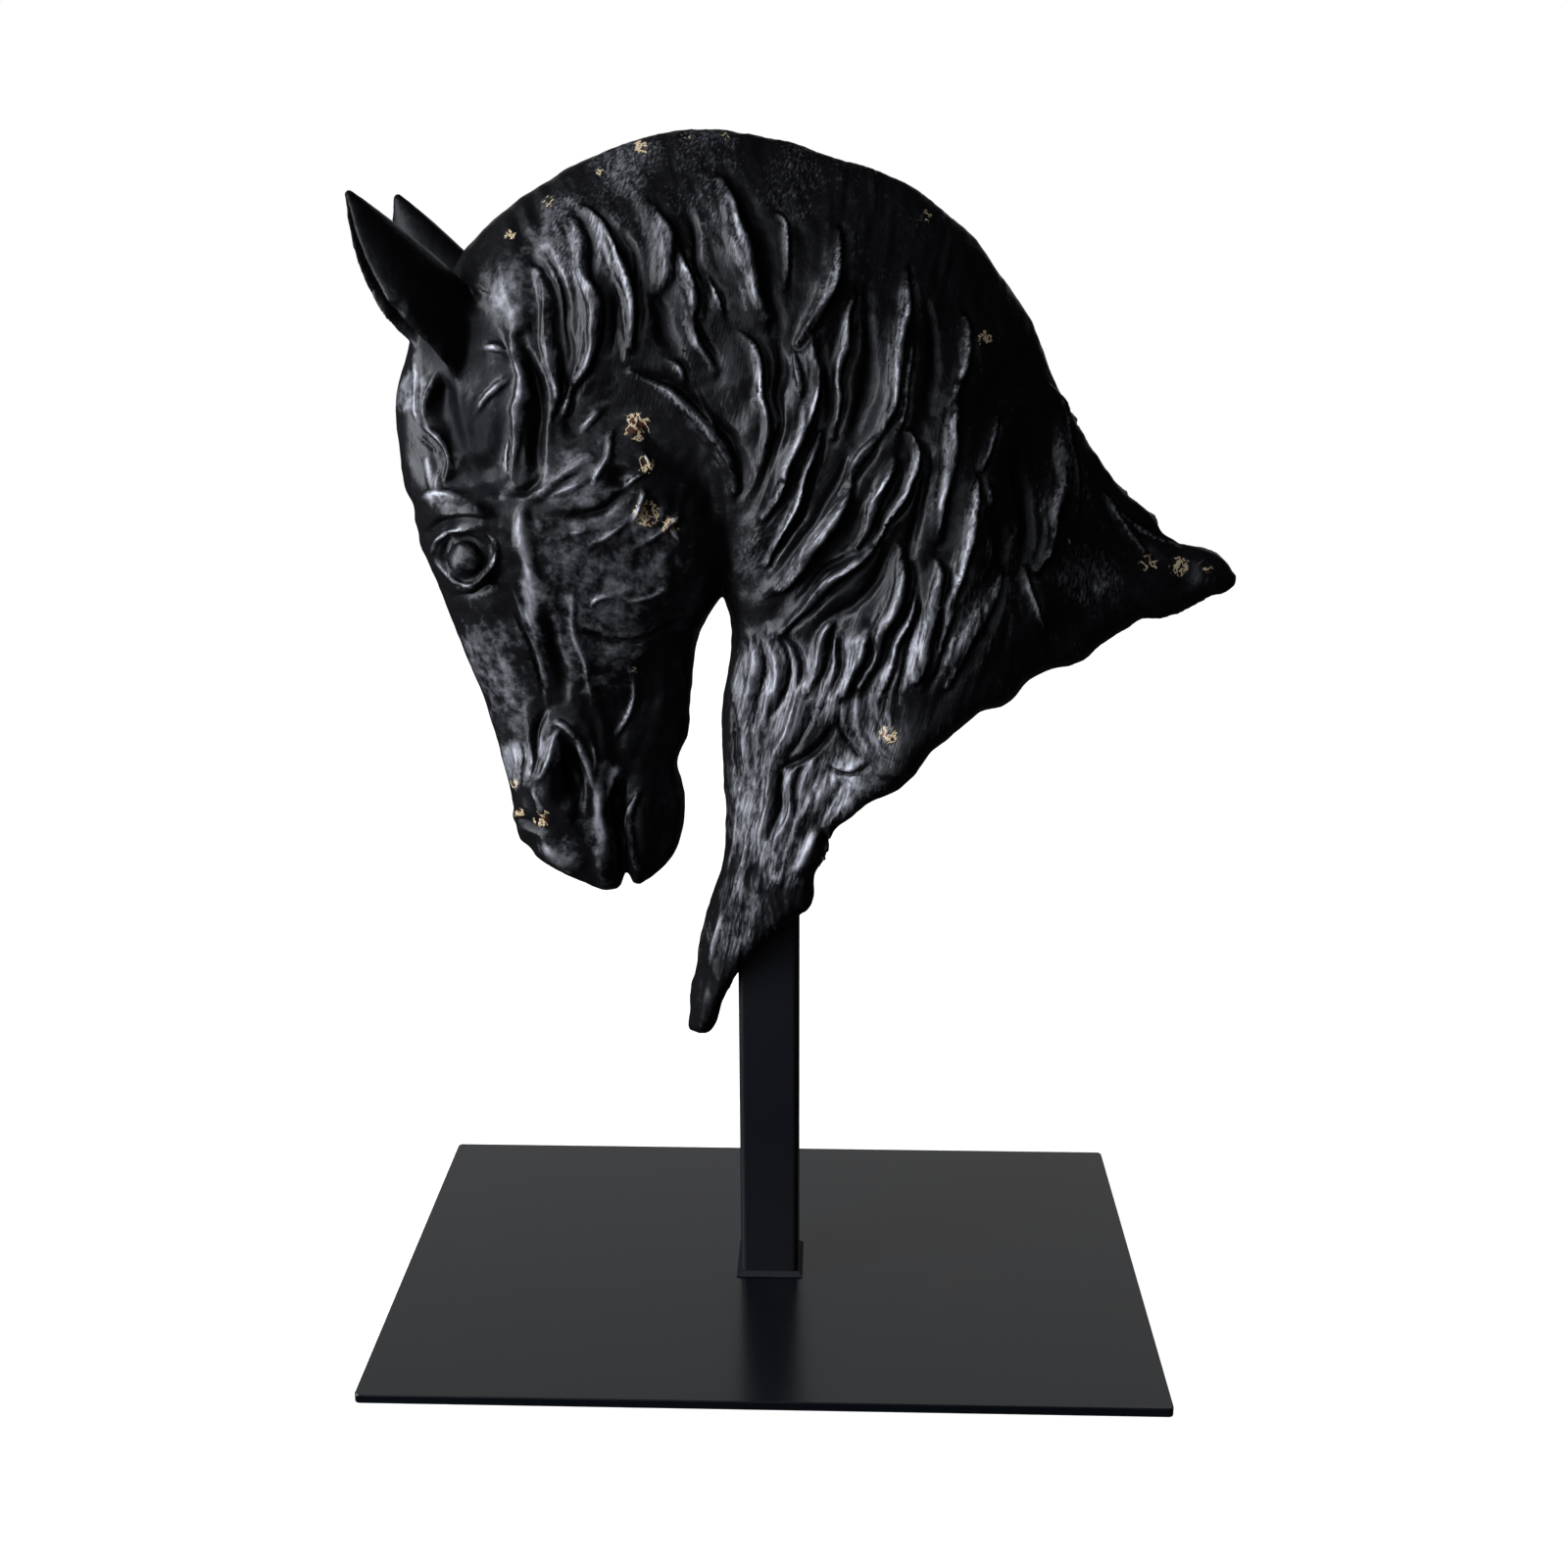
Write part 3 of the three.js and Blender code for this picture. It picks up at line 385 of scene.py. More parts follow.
@dataclass
class CarvingSheet:
    """The carving of one side, drawn flat in the camera's picture, in millimetres of height.

    left, top, right and bottom bound the sheet, which has one cell for each picture place.
    flank, crest, foot and channel are places across a lock, in shares of its half breadth:
    where it starts to climb, where it falls off, where that ends, and where its channel does.
    The pairs that belong to the eye are distances from its middle, in shares of its radius.
    """

    left: int = 330
    top: int = 110
    right: int = 1280
    bottom: int = 1080
    flank: float = 1.1
    crest: float = 0.35
    foot: float = 1.05
    channel: float = 2.3
    channel_depth: float = 0.62
    lock_gain: float = 1.6
    lock_breadth: float = 1.2
    tip_breadth: float = 0.45
    belly_breadth: float = 0.55
    climb_bend: float = 1.5
    stroke_ends: tuple[float, float] = (0.03, 0.97)
    bluntness: float = 0.5
    margin: float = 6
    unsteady: float = 2.6
    drift_reach: int = 16
    strand_count: float = 1.3
    strand_depth: float = 0.13
    strand_sway: float = 2.2
    strand_turns: float = 5
    strands_full: tuple[float, float] = (-0.6, 0.5)
    strands_end: float = 1.0
    moat: float = 1.3
    moat_reach: float = 2.2
    moat_inside: tuple[float, float] = (0.9, 1.1)
    moat_outside: tuple[float, float] = (1.35, 1.7)
    moat_cleared: tuple[float, float] = (1.3, 1.7)
    # A painted highlight on the eyeball, and the span over which it fades.
    eye_shine: float = 0.30
    eye_gleam: tuple[float, float] = (0.7, 1.0)
    flow_reach: float = 26.0
    flow_far: float = 0.002
    flow_cell: int = 6
    streak_step: float = 2.6
    streak_steps: int = 9
    seed: int = 7

    def __post_init__(self) -> None:
        """Lays out the cells and the empty layers."""
        self.xs, self.ys = np.meshgrid(
            np.arange(self.left, self.right, dtype=float),
            np.arange(self.top, self.bottom, dtype=float),
        )
        self.drift_x = self.unsteady * self.cloud(self.drift_reach, 1)
        self.drift_y = self.unsteady * self.cloud(self.drift_reach, 2)
        self.raised = np.zeros(self.xs.shape)
        self.sunk = np.zeros(self.xs.shape)
        self.fine = np.zeros(self.xs.shape)
        # Painted highlight, partly dry-brushed rub, and painted shade, which the finish reads.
        self.highlight_and_rub = np.zeros(self.xs.shape)
        self.shade = np.zeros(self.xs.shape)

    def cloud(self, reach: int, seed: int) -> np.ndarray:
        """Smooth random values over the sheet, with a spread of 1 and grains of about reach."""
        grain = np.random.default_rng(self.seed + seed).standard_normal(self.xs.shape)
        grain = blurred(blurred(grain, reach), reach)
        return (grain - grain.mean()) / grain.std()

    def window(self, spine: np.ndarray, reach: float) -> tuple[slice, slice]:
        """The part of the sheet within reach of a stroke, as slices of rows and columns."""
        low = np.floor(spine.min(0) - reach).astype(int)
        high = np.ceil(spine.max(0) + reach).astype(int)
        columns = slice(max(low[0] - self.left, 0), max(high[0] - self.left, 0))
        rows = slice(max(low[1] - self.top, 0), max(high[1] - self.top, 0))
        return rows, columns

    def draw(self, mark: Stroke, kind: Cut, unsteady: float = 1.0) -> None:
        """Draws one stroke, with its painted highlight and painted shade.

        Args:
            mark: The stroke.
            kind: What it is. A lock climbs slowly on its left and falls off on its right
                into a channel, and strands run along it.
            unsteady: How much the hand wavers.
        """
        spine = mark.spine()
        cells = self.window(spine, self.lock_breadth * self.channel * mark.width + self.margin)
        xs = self.xs[cells] + unsteady * self.drift_x[cells]
        ys = self.ys[cells] + unsteady * self.drift_y[cells]
        across, along = nearest(spine, xs, ys)
        taper = np.sin(math.pi * np.clip(along, *self.stroke_ends)) ** self.bluntness
        if kind is Cut.LOCK:
            breadth = self.tip_breadth + self.belly_breadth * taper
            place = across / (self.lock_breadth * mark.width * breadth)
            rise = self.lock_gain * mark.rise * taper
            climb = np.clip((place + self.flank) / (self.flank + self.crest), 0, 1)
            climb = climb**self.climb_bend
            fall = 1 - ease(place, self.crest, self.foot)
            self.raised[cells] = np.maximum(self.raised[cells], rise * climb * fall)
            dip = (1 - fall) * (1 - ease(place, self.foot, self.channel))
            self.sunk[cells] = np.minimum(self.sunk[cells], -self.channel_depth * rise * dip)
            sway = self.strand_sway * np.sin(self.strand_turns * along)
            wave = 2 * math.pi * self.strand_count * place + sway
            left, right = self.strands_full
            within = ease(place, -self.flank, left) * (1 - ease(place, right, self.strands_end))
            self.fine[cells] += self.strand_depth * rise * within * np.cos(wave)
            # Painted highlight on the lock's climbing left flank, which faces the key light, partly
            # dry-brushed rub; painted shade in its channel.
            lit_flank = taper * climb**self.climb_bend * fall
            self.highlight_and_rub[cells] = np.maximum(self.highlight_and_rub[cells] * (1 - dip), lit_flank)
            self.shade[cells] = np.maximum(self.shade[cells] * (1 - lit_flank), dip)
            return
        body = taper * (1 - ease(np.abs(across) / mark.width, 0.1, 1))
        # A raised mark gets painted highlight, partly dry-brushed rub; a sunk one gets painted
        # shade.
        if mark.rise > 0:
            self.raised[cells] = np.maximum(self.raised[cells], mark.rise * body)
            self.highlight_and_rub[cells] = np.maximum(self.highlight_and_rub[cells], body)
            self.shade[cells] *= 1 - body
        else:
            self.sunk[cells] = np.minimum(self.sunk[cells], mark.rise * body)
            self.shade[cells] = np.maximum(self.shade[cells], body)
            self.highlight_and_rub[cells] *= 1 - body

    def gap(self, spot: Spot, cells: Any = ...) -> np.ndarray:
        """The distance of cells from the middle of a spot, in shares of its radius."""
        return np.hypot(self.xs[cells] - spot.at[0], self.ys[cells] - spot.at[1]) / spot.radius

    def dent(self, spot: Spot) -> None:
        """Adds a round dent or lump."""
        cells = self.window(np.array([spot.at]), spot.radius)
        self.fine[cells] += spot.rise * (1 - ease(self.gap(spot, cells), 0.15, 1))

    def ball(self, spot: Spot) -> None:
        """Adds part of a sphere in a sunk ring, in place of what is drawn there, with a painted
        highlight on the sphere and painted shade in the ring.
        """
        cells = self.window(np.array([spot.at]), self.moat_reach * spot.radius)
        gap = self.gap(spot, cells)
        dome = spot.rise * np.sqrt(np.clip(1 - gap**2, 0, 1))
        ring = ease(gap, *self.moat_inside) * (1 - ease(gap, *self.moat_outside))
        clear = ease(gap, *self.moat_cleared)
        self.raised[cells] = np.maximum(self.raised[cells] * clear, dome)
        self.sunk[cells] = self.sunk[cells] * clear - self.moat * ring
        self.fine[cells] *= clear
        # A painted highlight on the eyeball, and painted shade in the moat round it.
        gleam = self.eye_shine * (1 - ease(gap, *self.eye_gleam))
        self.highlight_and_rub[cells] = self.highlight_and_rub[cells] * clear + gleam
        self.shade[cells] = np.maximum(self.shade[cells] * clear, ring)

    def flow(self, marks: Sequence[Stroke]) -> tuple[np.ndarray, np.ndarray]:
        """The direction that hair runs in at each cell, from the strokes near it."""
        coarse = (slice(None, None, self.flow_cell),) * 2
        xs, ys = self.xs[coarse], self.ys[coarse]
        run_x, run_y = np.zeros(xs.shape), np.full(ys.shape, 1e-4)
        for mark in marks:
            spine = mark.spine(6)
            for a, b in zip(spine[:-1], spine[1:]):
                run = (b - a) / np.hypot(*(b - a))
                middle = (a + b) / 2
                gap = np.hypot(xs - middle[0], ys - middle[1]) / self.flow_reach
                pull = np.exp(-gap * gap) + self.flow_far / (1 + gap) ** 2
                run_x += pull * run[0]
                run_y += pull * run[1]
        size = np.hypot(run_x, run_y)
        block = np.ones((self.flow_cell, self.flow_cell))
        rows, columns = self.xs.shape
        run_x, run_y = (np.kron(run / size, block)[:rows, :columns] for run in (run_x, run_y))
        return run_x, run_y

    @staticmethod
    def pick(layer: np.ndarray, at_x: np.ndarray, at_y: np.ndarray) -> tuple[Any, Any]:
        """The row and column of the cell nearest to each place in a layer."""
        i = np.clip(at_y.round().astype(int), 0, layer.shape[0] - 1)
        j = np.clip(at_x.round().astype(int), 0, layer.shape[1] - 1)
        return i, j

    def streaks(self, marks: Sequence[Stroke], reach: int) -> np.ndarray:
        """Hair-like lines along the flow of the strokes, with a spread of 1.

        Args:
            marks: The strokes that they follow.
            reach: Half the breadth of a line, in cells.

        Returns:
            A height for each cell.
        """
        grain = self.cloud(reach, 10 + reach)
        run_x, run_y = self.flow(marks)
        total = grain.copy()
        rows, columns = np.indices(self.xs.shape)
        for sense in (-1.0, 1.0):
            at_x, at_y = columns.astype(float), rows.astype(float)
            for _ in range(self.streak_steps):
                cell = self.pick(grain, at_x, at_y)
                at_x += sense * self.streak_step * run_x[cell]
                at_y += sense * self.streak_step * run_y[cell]
                total += grain[self.pick(grain, at_x, at_y)]
        return (total - total.mean()) / total.std()

    def heights(self) -> np.ndarray:
        """All layers together."""
        return self.raised + self.sunk + self.fine

    def read(self, layer: np.ndarray, places: np.ndarray) -> np.ndarray:
        """Reads a layer at picture places, between its cells, and 0 off the sheet."""
        x = np.clip(places[:, 0] - self.left, 0, layer.shape[1] - 1.001)
        y = np.clip(places[:, 1] - self.top, 0, layer.shape[0] - 1.001)
        j, i = x.astype(int), y.astype(int)
        u, v = x - j, y - i
        top = layer[i, j] * (1 - u) + layer[i, j + 1] * u
        low = layer[i + 1, j] * (1 - u) + layer[i + 1, j + 1] * u
        return top * (1 - v) + low * v


def blurred(layer: np.ndarray, reach: int) -> np.ndarray:
    """A sheet's layer, averaged over squares of 2 * reach + 1 cells."""
    for axis in (0, 1):
        layer = sum(np.roll(layer, k, axis) for k in range(-reach, reach + 1)) / (2 * reach + 1)
    return layer


def lumps(points: np.ndarray, size: float, seed: int) -> np.ndarray:
    """Smooth random lumps in space.

    Args:
        points: Places in metres.
        size: Distance between lumps in metres.
        seed: Which lumps.

    Returns:
        A height from -1 to 1 at each point.
    """
    side = 32
    table = np.random.default_rng(seed).uniform(-1, 1, (side, side, side))
    place = points / size
    cell = np.floor(place).astype(int)
    t = place - cell
    t = t * t * (3 - 2 * t)
    total = np.zeros(len(points))
    for corner in np.ndindex(2, 2, 2):
        weight = np.prod(np.where(np.array(corner) == 1, t, 1 - t), axis=1)
        i, j, k = ((cell + corner) % side).T
        total += weight * table[i, j, k]
    return total


@dataclass
class Skin:
    """A triangle or quad mesh as arrays, with its neighbours, for moving its vertices."""

    mesh: bpy.types.Mesh

    def __post_init__(self) -> None:
        """Reads the mesh."""
        count = len(self.mesh.vertices)
        self.points = np.empty(count * 3)
        self.mesh.vertices.foreach_get("co", self.points)
        self.points = self.points.reshape(-1, 3)
        edges = np.empty(len(self.mesh.edges) * 2, int)
        self.mesh.edges.foreach_get("vertices", edges)
        edges = edges.reshape(-1, 2)
        self.near = np.concatenate([edges, edges[:, ::-1]])
        self.valence = np.maximum(np.bincount(self.near[:, 0], minlength=count), 1)[:, None]

    def neighbour_mean(self, values: np.ndarray) -> np.ndarray:
        """The mean of each vertex's neighbours, for values with one row a vertex."""
        start, end = self.near.T
        columns = [
            np.bincount(start, weights=values[end, k], minlength=len(values))
            for k in range(values.shape[1])
        ]
        return np.stack(columns, axis=1) / self.valence

    def smooth(self, rounds: int, strength: np.ndarray) -> None:
        """Relaxes the points. Every fourth round pushes them back, against shrinking.

        Args:
            rounds: How many times each point moves towards its neighbours.
            strength: From 0 to 1 for each point.
        """
        pull, push, turn = 0.6, -0.61, 4
        weight = strength[:, None]
        for i in range(rounds):
            step = push if i % turn == turn - 1 else pull
            self.points += step * weight * (self.neighbour_mean(self.points) - self.points)

    def spread(self, values: np.ndarray, rounds: int) -> np.ndarray:
        """One number a vertex, averaged with its neighbours' over and over."""
        column = values[:, None].astype(float)
        for _ in range(rounds):
            column = 0.5 * column + 0.5 * self.neighbour_mean(column)
        return column[:, 0]

    def hold(self, start: np.ndarray, reach: np.ndarray) -> None:
        """Brings back points that lie further than reach from where they started."""
        step = self.points - start
        size = np.maximum(np.linalg.norm(step, axis=1), 1e-9)
        self.points = start + step * np.minimum(1, reach / size)[:, None]

    def normals(self) -> np.ndarray:
        """Unit normals of the vertices as they are now."""
        self.write()
        found = np.empty(len(self.points) * 3, np.float32)
        self.mesh.vertex_normals.foreach_get("vector", found)
        return found.reshape(-1, 3).astype(float)

    def write(self) -> None:
        """Puts the points back into the mesh."""
        self.mesh.vertices.foreach_set("co", self.points.astype(np.float32).ravel())
        self.mesh.update()

    def keep(self, name: str, values: np.ndarray) -> None:
        """Stores one number a vertex under a name that a material reads."""
        layer = self.mesh.attributes.new(name, "FLOAT", "POINT")
        layer.data.foreach_set("value", values.astype(np.float32))


@dataclass
class Wire:
    """A socket of a shader, so that its maths reads as arithmetic."""

    shader: "Shader"
    socket: bpy.types.NodeSocket

    def _math(self, operation: str, *values: Any) -> "Wire":
        """Adds one Math node."""
        return self.shader.node("ShaderNodeMath", {"operation": operation}, dict(enumerate(values)))

    def __add__(self, other: Any) -> "Wire":
        """self + other."""
        return self._math("ADD", self, other)

    def __radd__(self, other: Any) -> "Wire":
        """other + self."""
        return self._math("ADD", other, self)

    def __sub__(self, other: Any) -> "Wire":
        """self - other."""
        return self._math("SUBTRACT", self, other)

    def __rsub__(self, other: Any) -> "Wire":
        """other - self."""
        return self._math("SUBTRACT", other, self)

    def __mul__(self, other: Any) -> "Wire":
        """self * other."""
        return self._math("MULTIPLY", self, other)

    def __rmul__(self, other: Any) -> "Wire":
        """other * self."""
        return self._math("MULTIPLY", other, self)

    def size(self) -> "Wire":
        """The value without its sign."""
        return self._math("ABSOLUTE", self)

    def between(self, low: float, high: float) -> "Wire":
        """Goes smoothly from 0 at low to 1 at high, which may lie below low."""
        return self.shader.node(
            "ShaderNodeMapRange",
            {"interpolation_type": "SMOOTHSTEP"},
            {"Value": self, "From Min": low, "From Max": high},
        )


class Shader:
    """A material or a surround, and the nodes that are added to it."""

    def __init__(self, owner: bpy.types.Material | bpy.types.World) -> None:
        """Starts with no nodes.

        Args:
            owner: The material or surround.
        """
        self.owner = owner
        owner.use_nodes = True
        self.tree = owner.node_tree
        self.tree.nodes.clear()

    def node(
        self, kind: str, settings: dict[str, Any], values: dict[Any, Any], output: Any = 0
    ) -> Wire:
        """Adds any node.

        Args:
            kind: Blender's name for the node's type.
            settings: Properties of the node, which are set first.
            values: A number, colour or Wire for each input, by name or place.
            output: Which output to return, by name or place.

        Returns:
            The output.
        """
        made = self.tree.nodes.new(kind)
        for key, value in settings.items():
            setattr(made, key, value)
        for key, value in values.items():
            if isinstance(value, Wire):
                self.tree.links.new(value.socket, made.inputs[key])
            else:
                made.inputs[key].default_value = value
        return Wire(self, made.outputs[output])

    def coordinates(self) -> Wire:
        """Object coordinates, in metres."""
        return self.node("ShaderNodeTexCoord", {}, {}, "Object")

    def attribute(self, name: str) -> Wire:
        """A number stored on the vertices."""
        return self.node("ShaderNodeAttribute", {"attribute_name": name}, {}, "Fac")

    def combed(self, lean: float, stretch: float) -> Wire:
        """Object coordinates for grain that runs down the sides.

        Args:
            lean: Degrees that the grain leans forward, towards -X, as it runs down.
            stretch: How many times longer than wide the grain is.
        """
        values = {
            "Vector": self.coordinates(),
            "Rotation": (0.0, math.radians(lean), 0.0),
            "Scale": (1.0, 1.0, stretch),
        }
        return self.node("ShaderNodeMapping", {"vector_type": "TEXTURE"}, values)

    def noise(
        self, size: float, detail: float = 3.0, rough: float = 0.55, at: Wire | None = None
    ) -> Wire:
        """Noise whose grains are about size metres apart, at given or plain coordinates."""
        values = {
            "Vector": at or self.coordinates(),
            "Scale": 1 / size,
            "Detail": detail,
            "Roughness": rough,
        }
        return self.node("ShaderNodeTexNoise", {}, values)

    def blend(self, share: Wire, under: Any, over: Any) -> Wire:
        """A colour that goes from under to over as share goes from 0 to 1."""
        values = {0: share, 6: under, 7: over}
        return self.node("ShaderNodeMix", {"data_type": "RGBA"}, values, 2)

    def bump(
        self, height: Wire, distance: float, strength: float, under: Wire | None = None
    ) -> Wire:
        """A bump of a height from 0 to 1 that stands for distance metres, over another bump."""
        values: dict[Any, Any] = {"Height": height, "Distance": distance, "Strength": strength}
        if under is not None:
            values["Normal"] = under
        return self.node("ShaderNodeBump", {}, values)

    def surface(self, values: dict[str, Any]) -> bpy.types.Material:
        """Ends the material with a Principled surface of these inputs."""
        self.end("ShaderNodeOutputMaterial", self.node("ShaderNodeBsdfPrincipled", {}, values))
        return self.owner

    def end(self, kind: str, lit: Wire) -> None:
        """Leads a surface or a glow to an output node of a kind."""
        out = self.tree.nodes.new(kind)
        self.tree.links.new(lit.socket, out.inputs["Surface"])


@dataclass(frozen=True)
class BlackLacquer:
    """Black satin lacquer over a cast body, brushed with blue-grey that is partly painted
    highlight, darkened by painted shade, and worn through in spots.

    It reads five numbers a vertex: how far it is brushed pale, partly as painted highlight; how far
    it lies in painted shade, returning next to no light; worn, where it has gone; hairy and lean,
    how its scratches run.
    """

    black: tuple[float, float, float, float] = (0.0035, 0.0036, 0.0046, 1)
    brushed_and_highlight: tuple[float, float, float, float] = (0.33, 0.345, 0.40, 1)
    sheen: float = 0.58
    cream: tuple[float, float, float, float] = (0.50, 0.41, 0.27, 1)
    rust: tuple[float, float, float, float] = (0.075, 0.022, 0.014, 1)
    grain: float = 1.5 * MM
    hammer: float = 4.5 * MM
    scratch: float = 0.9 * MM
    hammered_share: float = 0.65
    stretch: float = 9.0
    mane_lean: float = 14.0
    lock_lean: float = 38.0
    rub_grain: float = 1.1
    rub_cloud: float = 0.5
    rub_band: tuple[float, float] = (0.16, 1.08)
    roughness: float = 0.36
    rough_cloud: float = 0.18
    rough_grain: float = 0.16
    rough_worn: float = 0.3
    dry: float = 0.18
    # Roughness, and black metal over the black base, where painted shade lies.
    shade_dullness: float = 0.15
    shade_metal: float = 0.85
    gloss: float = 0.24
    tint: tuple[float, float, float, float] = (0.86, 0.91, 1.0, 1)

    def material(self) -> bpy.types.Material:
        """Builds the material."""
        shader = Shader(bpy.data.materials.new("black_lacquer"))
        cloud = shader.noise(14 * MM)
        fine = shader.noise(self.grain, 4.0, 0.6)
        hammered = shader.noise(self.hammer, 2.0)
        steep = shader.noise(self.scratch, 3.0, 0.6, shader.combed(self.mane_lean, self.stretch))
        slant = shader.noise(self.scratch, 3.0, 0.6, shader.combed(self.lock_lean, self.stretch))
        lean = shader.attribute("lean")
        scratches = steep + lean * (slant - steep)
        hairy = shader.attribute("hairy")
        smeared = self.hammered_share * hammered + (1 - self.hammered_share) * fine
        grain = smeared + hairy * (scratches - smeared)
        rub_and_highlight, deep_shade = shader.attribute("rub_and_highlight"), shader.attribute("deep_shade")
        # The pale blue-grey is partly dry-brushed patina and partly painted highlight on flanks and
        # ridges that face the light.
        uneven = rub_and_highlight + (grain - 0.5) * self.rub_grain + (cloud - 0.5) * self.rub_cloud
        brushed_and_highlight = uneven.between(*self.rub_band)
        colour = shader.blend(brushed_and_highlight, self.black, self.brushed_and_highlight)
        colour, worn = self.wear(shader, colour, fine)
        rough = self.roughness + (cloud - 0.5) * self.rough_cloud
        rough = rough + (grain - 0.5) * self.rough_grain
        rough = rough + brushed_and_highlight * self.dry + deep_shade * self.shade_dullness
        kept = 1 - worn
        height = shader.bump(hammered, 0.5 * MM, 0.35)
        height = shader.bump(grain, 0.30 * MM, 0.6, height)
        return shader.surface(
            {
                "Base Color": colour,
                "Roughness": rough + worn * self.rough_worn,
                # Painted shade: metal over the black base makes hollows, channels, the eye's moat,
                # dark patches and the ears return next to no light.
                "Metallic": kept * (brushed_and_highlight * self.sheen + deep_shade * (1 - brushed_and_highlight) * self.shade_metal),
                "Specular IOR Level": self.gloss,
                "Specular Tint": self.tint,
                "Normal": height,
            }
        )

    def wear(self, shader: Shader, colour: Wire, fine: Wire) -> tuple[Wire, Wire]:
        """Lays crazed cream lines, specks and rust over a colour, where the lacquer has gone.

        Args:
            shader: The material.
            colour: The colour so far.
            fine: Its fine grain.

        Returns:
            The new colour, and how far each place is worn from 0 to 1.
        """
        gone = shader.attribute("worn")
        veins = (shader.noise(5.0 * MM, 3.0, 0.6) - 0.5).size().between(0.045, 0.012)
        specks = (gone * 0.3 + fine).between(0.88, 0.98)
        rusted = gone.between(0.35, 0.9) * shader.noise(3.2 * MM, 3.0).between(0.46, 0.6)
        colour = shader.blend(rusted * 0.8, colour, self.rust)
        pale = veins * (gone * 1.3 + (fine - 0.5)).between(0.25, 0.6) + specks
        pale = pale.between(0.1, 0.9)
        return shader.blend(pale, colour, self.cream), pale


@dataclass(frozen=True)
class PowderCoat:
    """Satin powder coat on steel, with its fine orange peel and a few faint smudges."""

    name: str
    colour: tuple[float, float, float, float]
    smudged: tuple[float, float, float, float]
    roughness: float
    gloss: float
    peel: float = 0.9 * MM

    def material(self) -> bpy.types.Material:
        """Builds the material."""
        shader = Shader(bpy.data.materials.new(self.name))
        cloud = shader.noise(55 * MM, 4.0, 0.6)
        peel = shader.noise(self.peel, 2.0)
        smudge = cloud.between(0.56, 0.72)
        colour = shader.blend(smudge, self.colour, self.smudged)
        rough = self.roughness + (cloud - 0.5) * 0.10 + (peel - 0.5) * 0.04
        return shader.surface(
            {
                "Base Color": colour,
                "Roughness": rough,
                "Specular IOR Level": self.gloss,
                "Normal": shader.bump(peel, 0.05 * MM, 0.35),
            }
        )


